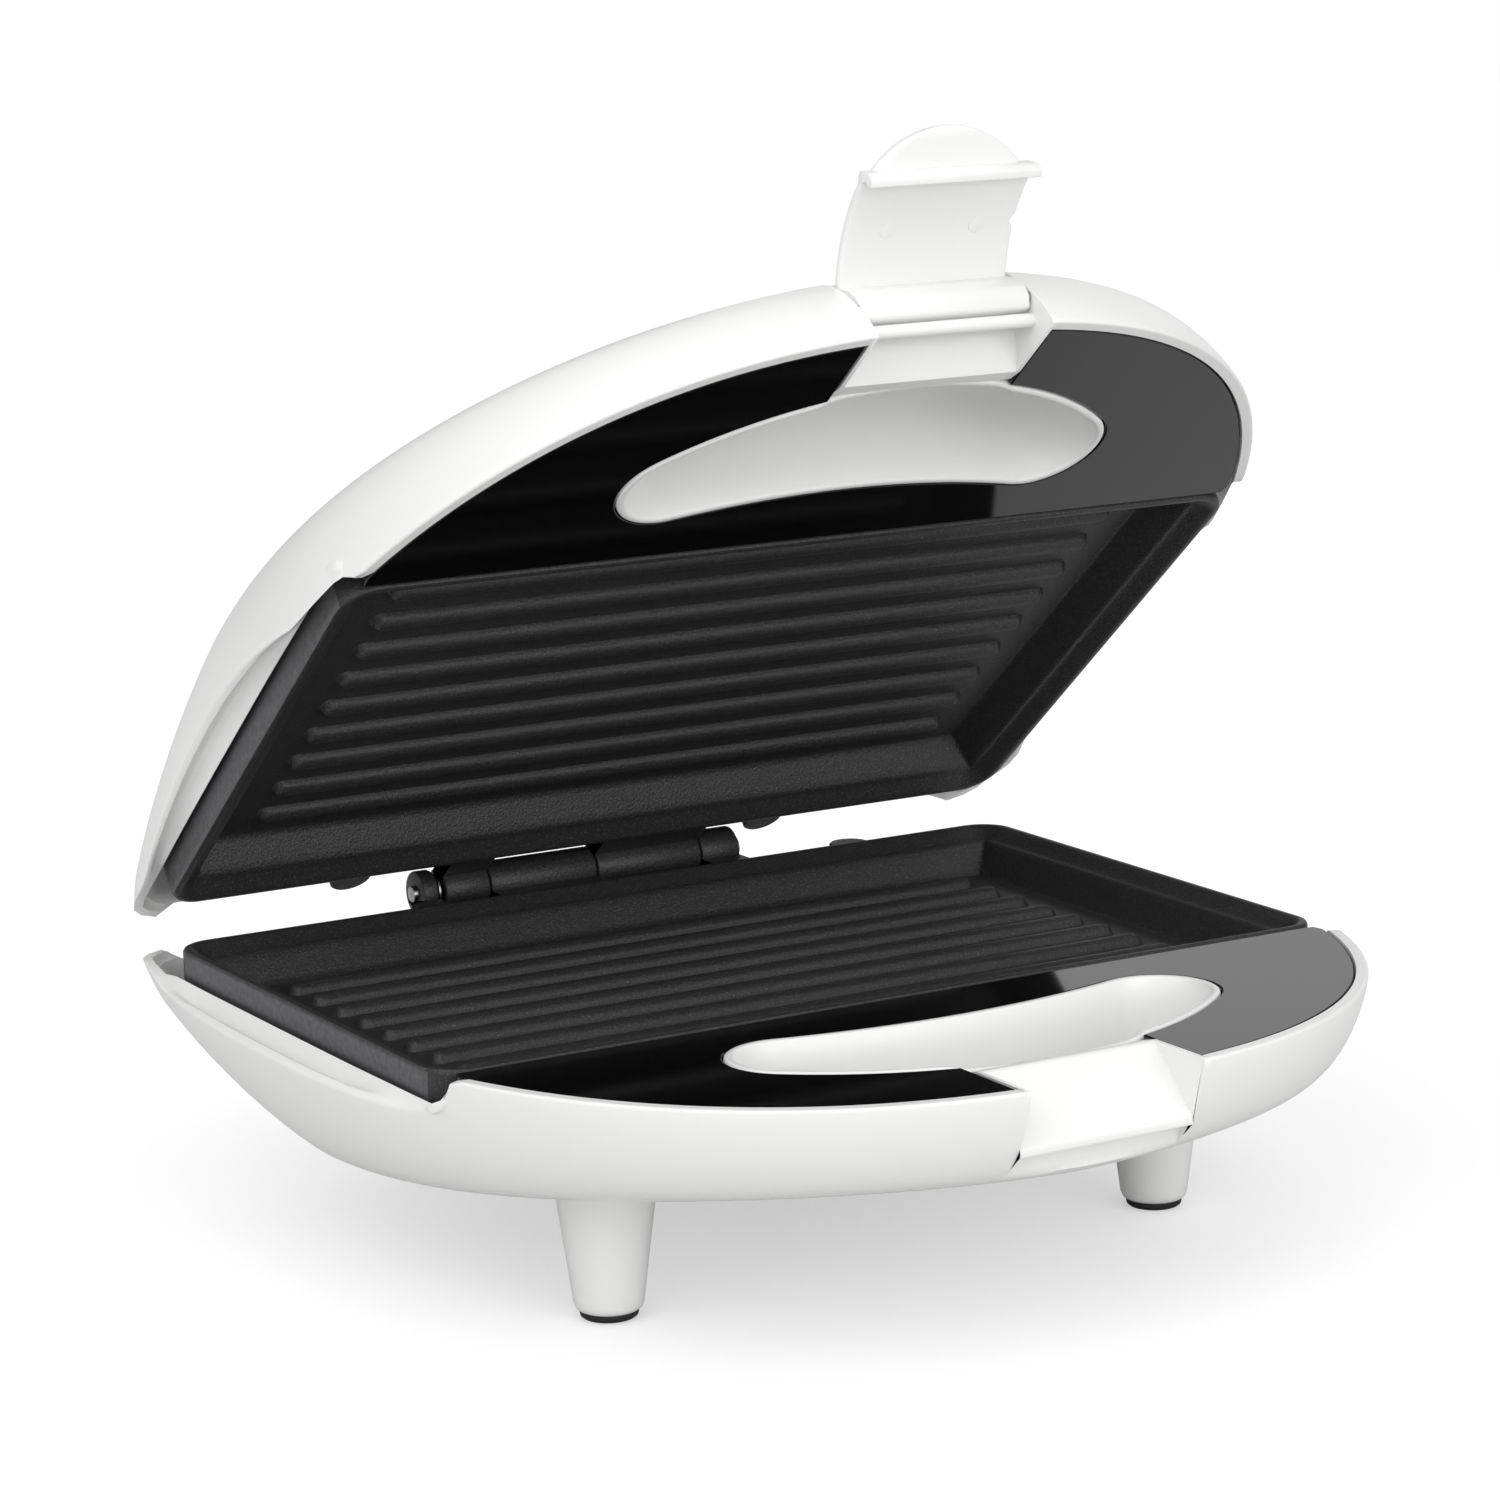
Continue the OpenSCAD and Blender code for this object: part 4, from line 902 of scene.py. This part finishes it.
def ejector_mark(x, h):
    """A shallow round pad on the latch's inner face, turned to face the arc's centre."""
    disc, f = lathe(rounded([(0, -0.3), (1.75, -0.3), (1.75, 0.22), (0, 0.22)], 0.12, 3), 32)
    a = math.asin((h - ARC_C[1]) / (ARC_R - LATCH_T))
    c, s = math.cos(a), math.sin(a)
    y0, h0 = ARC_C[0] - (ARC_R - LATCH_T) * c, ARC_C[1] + (ARC_R - LATCH_T) * s
    u, n = disc[..., 1], disc[..., 2]
    return np.stack([x + disc[..., 0], y0 + u * s + n * c, h0 + u * c - n * s], -1), f


def closed(corners, radius):
    """A closed outline with rounded corners, begun in the middle of its last side."""
    c = np.asarray(corners, float)
    start = (c[0] + c[-1]) / 2
    return rounded(np.vstack([start, c, start]), radius, 4)[:-1]


root = closed([(-227.4, 8.2), (-225.4, 7.0), (-221.2, 6.6), (-217.8, 7.6), (-216.2, 9.2),
               (-215.5, 11.9), (-218.7, 14.4), (-223.0, 12.9)], 0.7)
lip = closed([(-219.3, -16.0), (-219.2, -18.9), (-215.4, -18.9), (-213.9, -17.7), (-213.9, -16.1),
              (-215.4, -16.1), (-216.2, -16.9), (-218.0, -16.6)], 0.35)
latch_parts = {"plate": latch_plate(), "hook": prism(lip, -LATCH_W / 2, LATCH_W / 2, 0.25),
               "root": prism(root, -LATCH_W / 2, LATCH_W / 2, 0.3),
               "mark_left": ejector_mark(-11, -5.0), "mark_right": ejector_mark(11, -5.0)}
for name, part in latch_parts.items():
    piece(f"latch_{name}", "latch", white_abs, [part], on_latch,
          ["latch"] if name == "plate" else (), angle=50)
piece("latch_steel_pin", "lid", zinc_steel, [bar(*PIVOT, 1.2, -24.4, 24.4, 0.2)], on_lid,
      ["latch_pin"])
piece("lid_cross_bar", "lid", white_abs,
      [bar(-215.4, 5.4, 1.5, -NOTCH - 0.8, NOTCH + 0.8, 0.2)], on_lid)

# %% [markdown]
# ## Legs and pads
# Four tapered legs are moulded with the base shell. Each is a turned form that flares where it
# grows out of the shell and rounds over at its foot, with a rubber pad glued in.

# %% Legs and pads
LEGS = ((72, -132), (-72, -132), (48, -4), (-48, -4))
ground = hinge_z
for n, (x, y) in enumerate(LEGS):
    start = float(skin_depth(np.float64(x), np.float64(y))) if y < YC else 30.0
    hs = np.array([0, 1.5, 3, 5, 8, 12, 18, 26])
    flare = 0.7 * np.exp(-hs / 1.2)
    tip = ground - 2.0
    body_h = start - 2 + hs
    body_h = body_h[body_h < tip - 5]
    r = 7.85 + 0.137 * (tip - 3 - body_h) + flare[: len(body_h)]
    prof = [(0, start - 4)] + list(zip(r, body_h)) + [(7.95, tip - 3.2), (7.75, tip - 1.6),
            (7.3, tip - 0.5), (6.7, tip), (0, tip)]
    piece(f"leg_{n}", "base", white_abs, [lathe(prof, 72, (x, y))], on_base, angle=60)
    pad = [(0, tip - 0.1), (6.35, tip - 0.1), (6.45, tip + 0.3), (6.45, ground - 1.1),
           (6.3, ground - 0.6), (5.8, ground - 0.2), (5.0, ground), (0, ground)]
    piece(f"foot_pad_{n}", "base", rubber, [lathe(pad, 64, (x, y))], on_base,
          ["foot_pads"], angle=50)

# %% [markdown]
# ## The works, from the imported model
# The pieces behind the plates already have their right shapes. They keep them, and get a finish
# each.

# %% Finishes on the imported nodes
for word, material in (
        ("heater_clamps", zinc_steel), ("heater", heater_sheath), ("reflector", sheet_aluminium),
        ("screws", zinc_steel), ("thermostat", steatite), ("terminal", steatite),
        ("bushing", white_abs), ("cord_clamp", nylon), ("wires", sleeve), ("fuse", brass_can),
        ("power_lens", red_lens), ("ready_lens", green_lens), ("neon", lamp_glass),
        ("lamp_holder", nylon), ("plugs", white_abs)):
    for name, node in frame["nodes"].items():
        if word in name and not node.get("finished"):
            node.data.materials.clear()
            node.data.materials.append(material)
            node["finished"] = 1
for name, node in frame["nodes"].items():
    if not node.get("finished") and not node.hide_render:
        print("no finish:", name)

# %% [markdown]
# ## Camera, floor and light
# A long lens stands far back, to the left and a little above. The surround is white, brighter to
# the front, the left and above, with a soft light on the left and one in front. A grey card
# behind on the right is seen only in reflections, by the black trim.

# %% Camera
AZ, EL, ROLL = (math.radians(v) for v in (-30.07, 11.21, -1.38))
back = Vector((math.sin(AZ) * math.cos(EL), -math.cos(AZ) * math.cos(EL), math.sin(EL)))
right = Vector((math.cos(AZ), math.sin(AZ), 0))
up = back.cross(right)
rr, uu = right * math.cos(ROLL) + up * math.sin(ROLL), up * math.cos(ROLL) - right * math.sin(ROLL)
middle = Vector((0, (hinge_y - HINGE_BACK - 70) * MM, hinge_z * MM))
spot = middle + back * 1.0417 + rr * 0.00109 + uu * 0.0425
camera = bpy.data.objects.new("camera", bpy.data.cameras.new("camera"))
bpy.context.scene.collection.objects.link(camera)
camera.data.lens, camera.data.sensor_width, camera.data.clip_start = 107.08, 36.0, 0.05
camera.matrix_world = Matrix(((rr.x, uu.x, back.x, spot.x), (rr.y, uu.y, back.y, spot.y),
                              (rr.z, uu.z, back.z, spot.z), (0, 0, 0, 1)))
bpy.context.scene.camera = camera

# %% Floor, world and lights
floor = bpy.data.objects.new("studio_floor", bpy.data.meshes.new("studio_floor"))
floor.data.from_pydata([(-60, -60, 0), (60, -60, 0), (60, 60, 0), (-60, 60, 0)], [], [(0, 1, 2, 3)])
bpy.context.scene.collection.objects.link(floor)
floor_paint = finish("studio_floor_paint", "#d0d0d0", 0.9, spread=0.01, patch_mm=400, grain_mm=20,
                     grain_depth_mm=0.01)
floor.data.materials.append(floor_paint)
# a backlit table: the eye sees it glow a little, yet it throws little light up into the lid
paint = floor_paint.node_tree
shader = next(n for n in paint.nodes if n.type == "BSDF_PRINCIPLED")
shader.inputs["Emission Color"].default_value = (1, 1, 1, 1)
lit = add(paint, "ShaderNodeMath", {0: add(paint, "ShaderNodeLightPath").outputs["Is Camera Ray"]},
          operation="MULTIPLY")
lit.inputs[1].default_value = 0.46
paint.links.new(lit.outputs["Value"], shader.inputs["Emission Strength"])

world = bpy.data.worlds.new("studio")
bpy.context.scene.world = world
world.use_nodes = True
tree = world.node_tree
tree.nodes.clear()
rays = add(tree, "ShaderNodeLightPath")
away = add(tree, "ShaderNodeTexCoord").outputs["Generated"]
facing = add(tree, "ShaderNodeVectorMath", {0: away}, operation="DOT_PRODUCT")
facing.inputs[1].default_value = (-0.45, -0.7, 0.55)  # bright to the front, the left and above


def sky(low, high, dim, bright):
    """A white surround whose strength grows from dim to bright with the facing."""
    power = add(tree, "ShaderNodeMapRange", {"Value": facing.outputs["Value"]})
    for key, value in (("From Min", low), ("From Max", high), ("To Min", dim), ("To Max", bright)):
        power.inputs[key].default_value = value
    return add(tree, "ShaderNodeBackground", {"Strength": power.outputs["Result"]},
               Color=(1, 1, 1, 1))


seen = add(tree, "ShaderNodeBackground", Color=(1, 1, 1, 1), Strength=1.0)
soft = add(tree, "ShaderNodeMixShader", {0: rays.outputs["Is Glossy Ray"],
                                         1: sky(-0.7, 0.8, 0.38, 1.12).outputs[0],
                                         2: sky(-0.1, 0.6, 0.02, 0.9).outputs[0]})
both = add(tree, "ShaderNodeMixShader", {0: rays.outputs["Is Camera Ray"], 1: soft.outputs[0],
                                         2: seen.outputs[0]})
add(tree, "ShaderNodeOutputWorld", {"Surface": both.outputs[0]})


def soft_light(name, place, aim, size, power):
    """A square area light at place, turned to face aim."""
    light = bpy.data.objects.new(name, bpy.data.lights.new(name, "AREA"))
    bpy.context.scene.collection.objects.link(light)
    light.data.shape, light.data.size, light.data.size_y = "RECTANGLE", size[0], size[1]
    light.data.energy = power
    light.location = place
    direction = Vector(aim) - Vector(place)
    light.rotation_euler = direction.to_track_quat("-Z", "Y").to_euler()
    return light


soft_light("key_left", (-1.5, -0.9, 1.5), (0, 0, 0.1), (1.4, 1.4), 8)
soft_light("fill_front", (0.3, -2.2, 0.6), (0, 0, 0.1), (1.6, 1.0), 10)
card = soft_light("grey_card", (1.6, 1.7, 0.5), (0, 0, 0.1), (1.5, 1.4), 4.7)
card.visible_diffuse = False
scene = bpy.context.scene
scene.view_settings.view_transform = "Standard"
scene.view_settings.look = "None"

# %% Finish
faces = sum(len(o.data.polygons) for o in PIECES)
print("pieces", len(PIECES), "faces", faces)
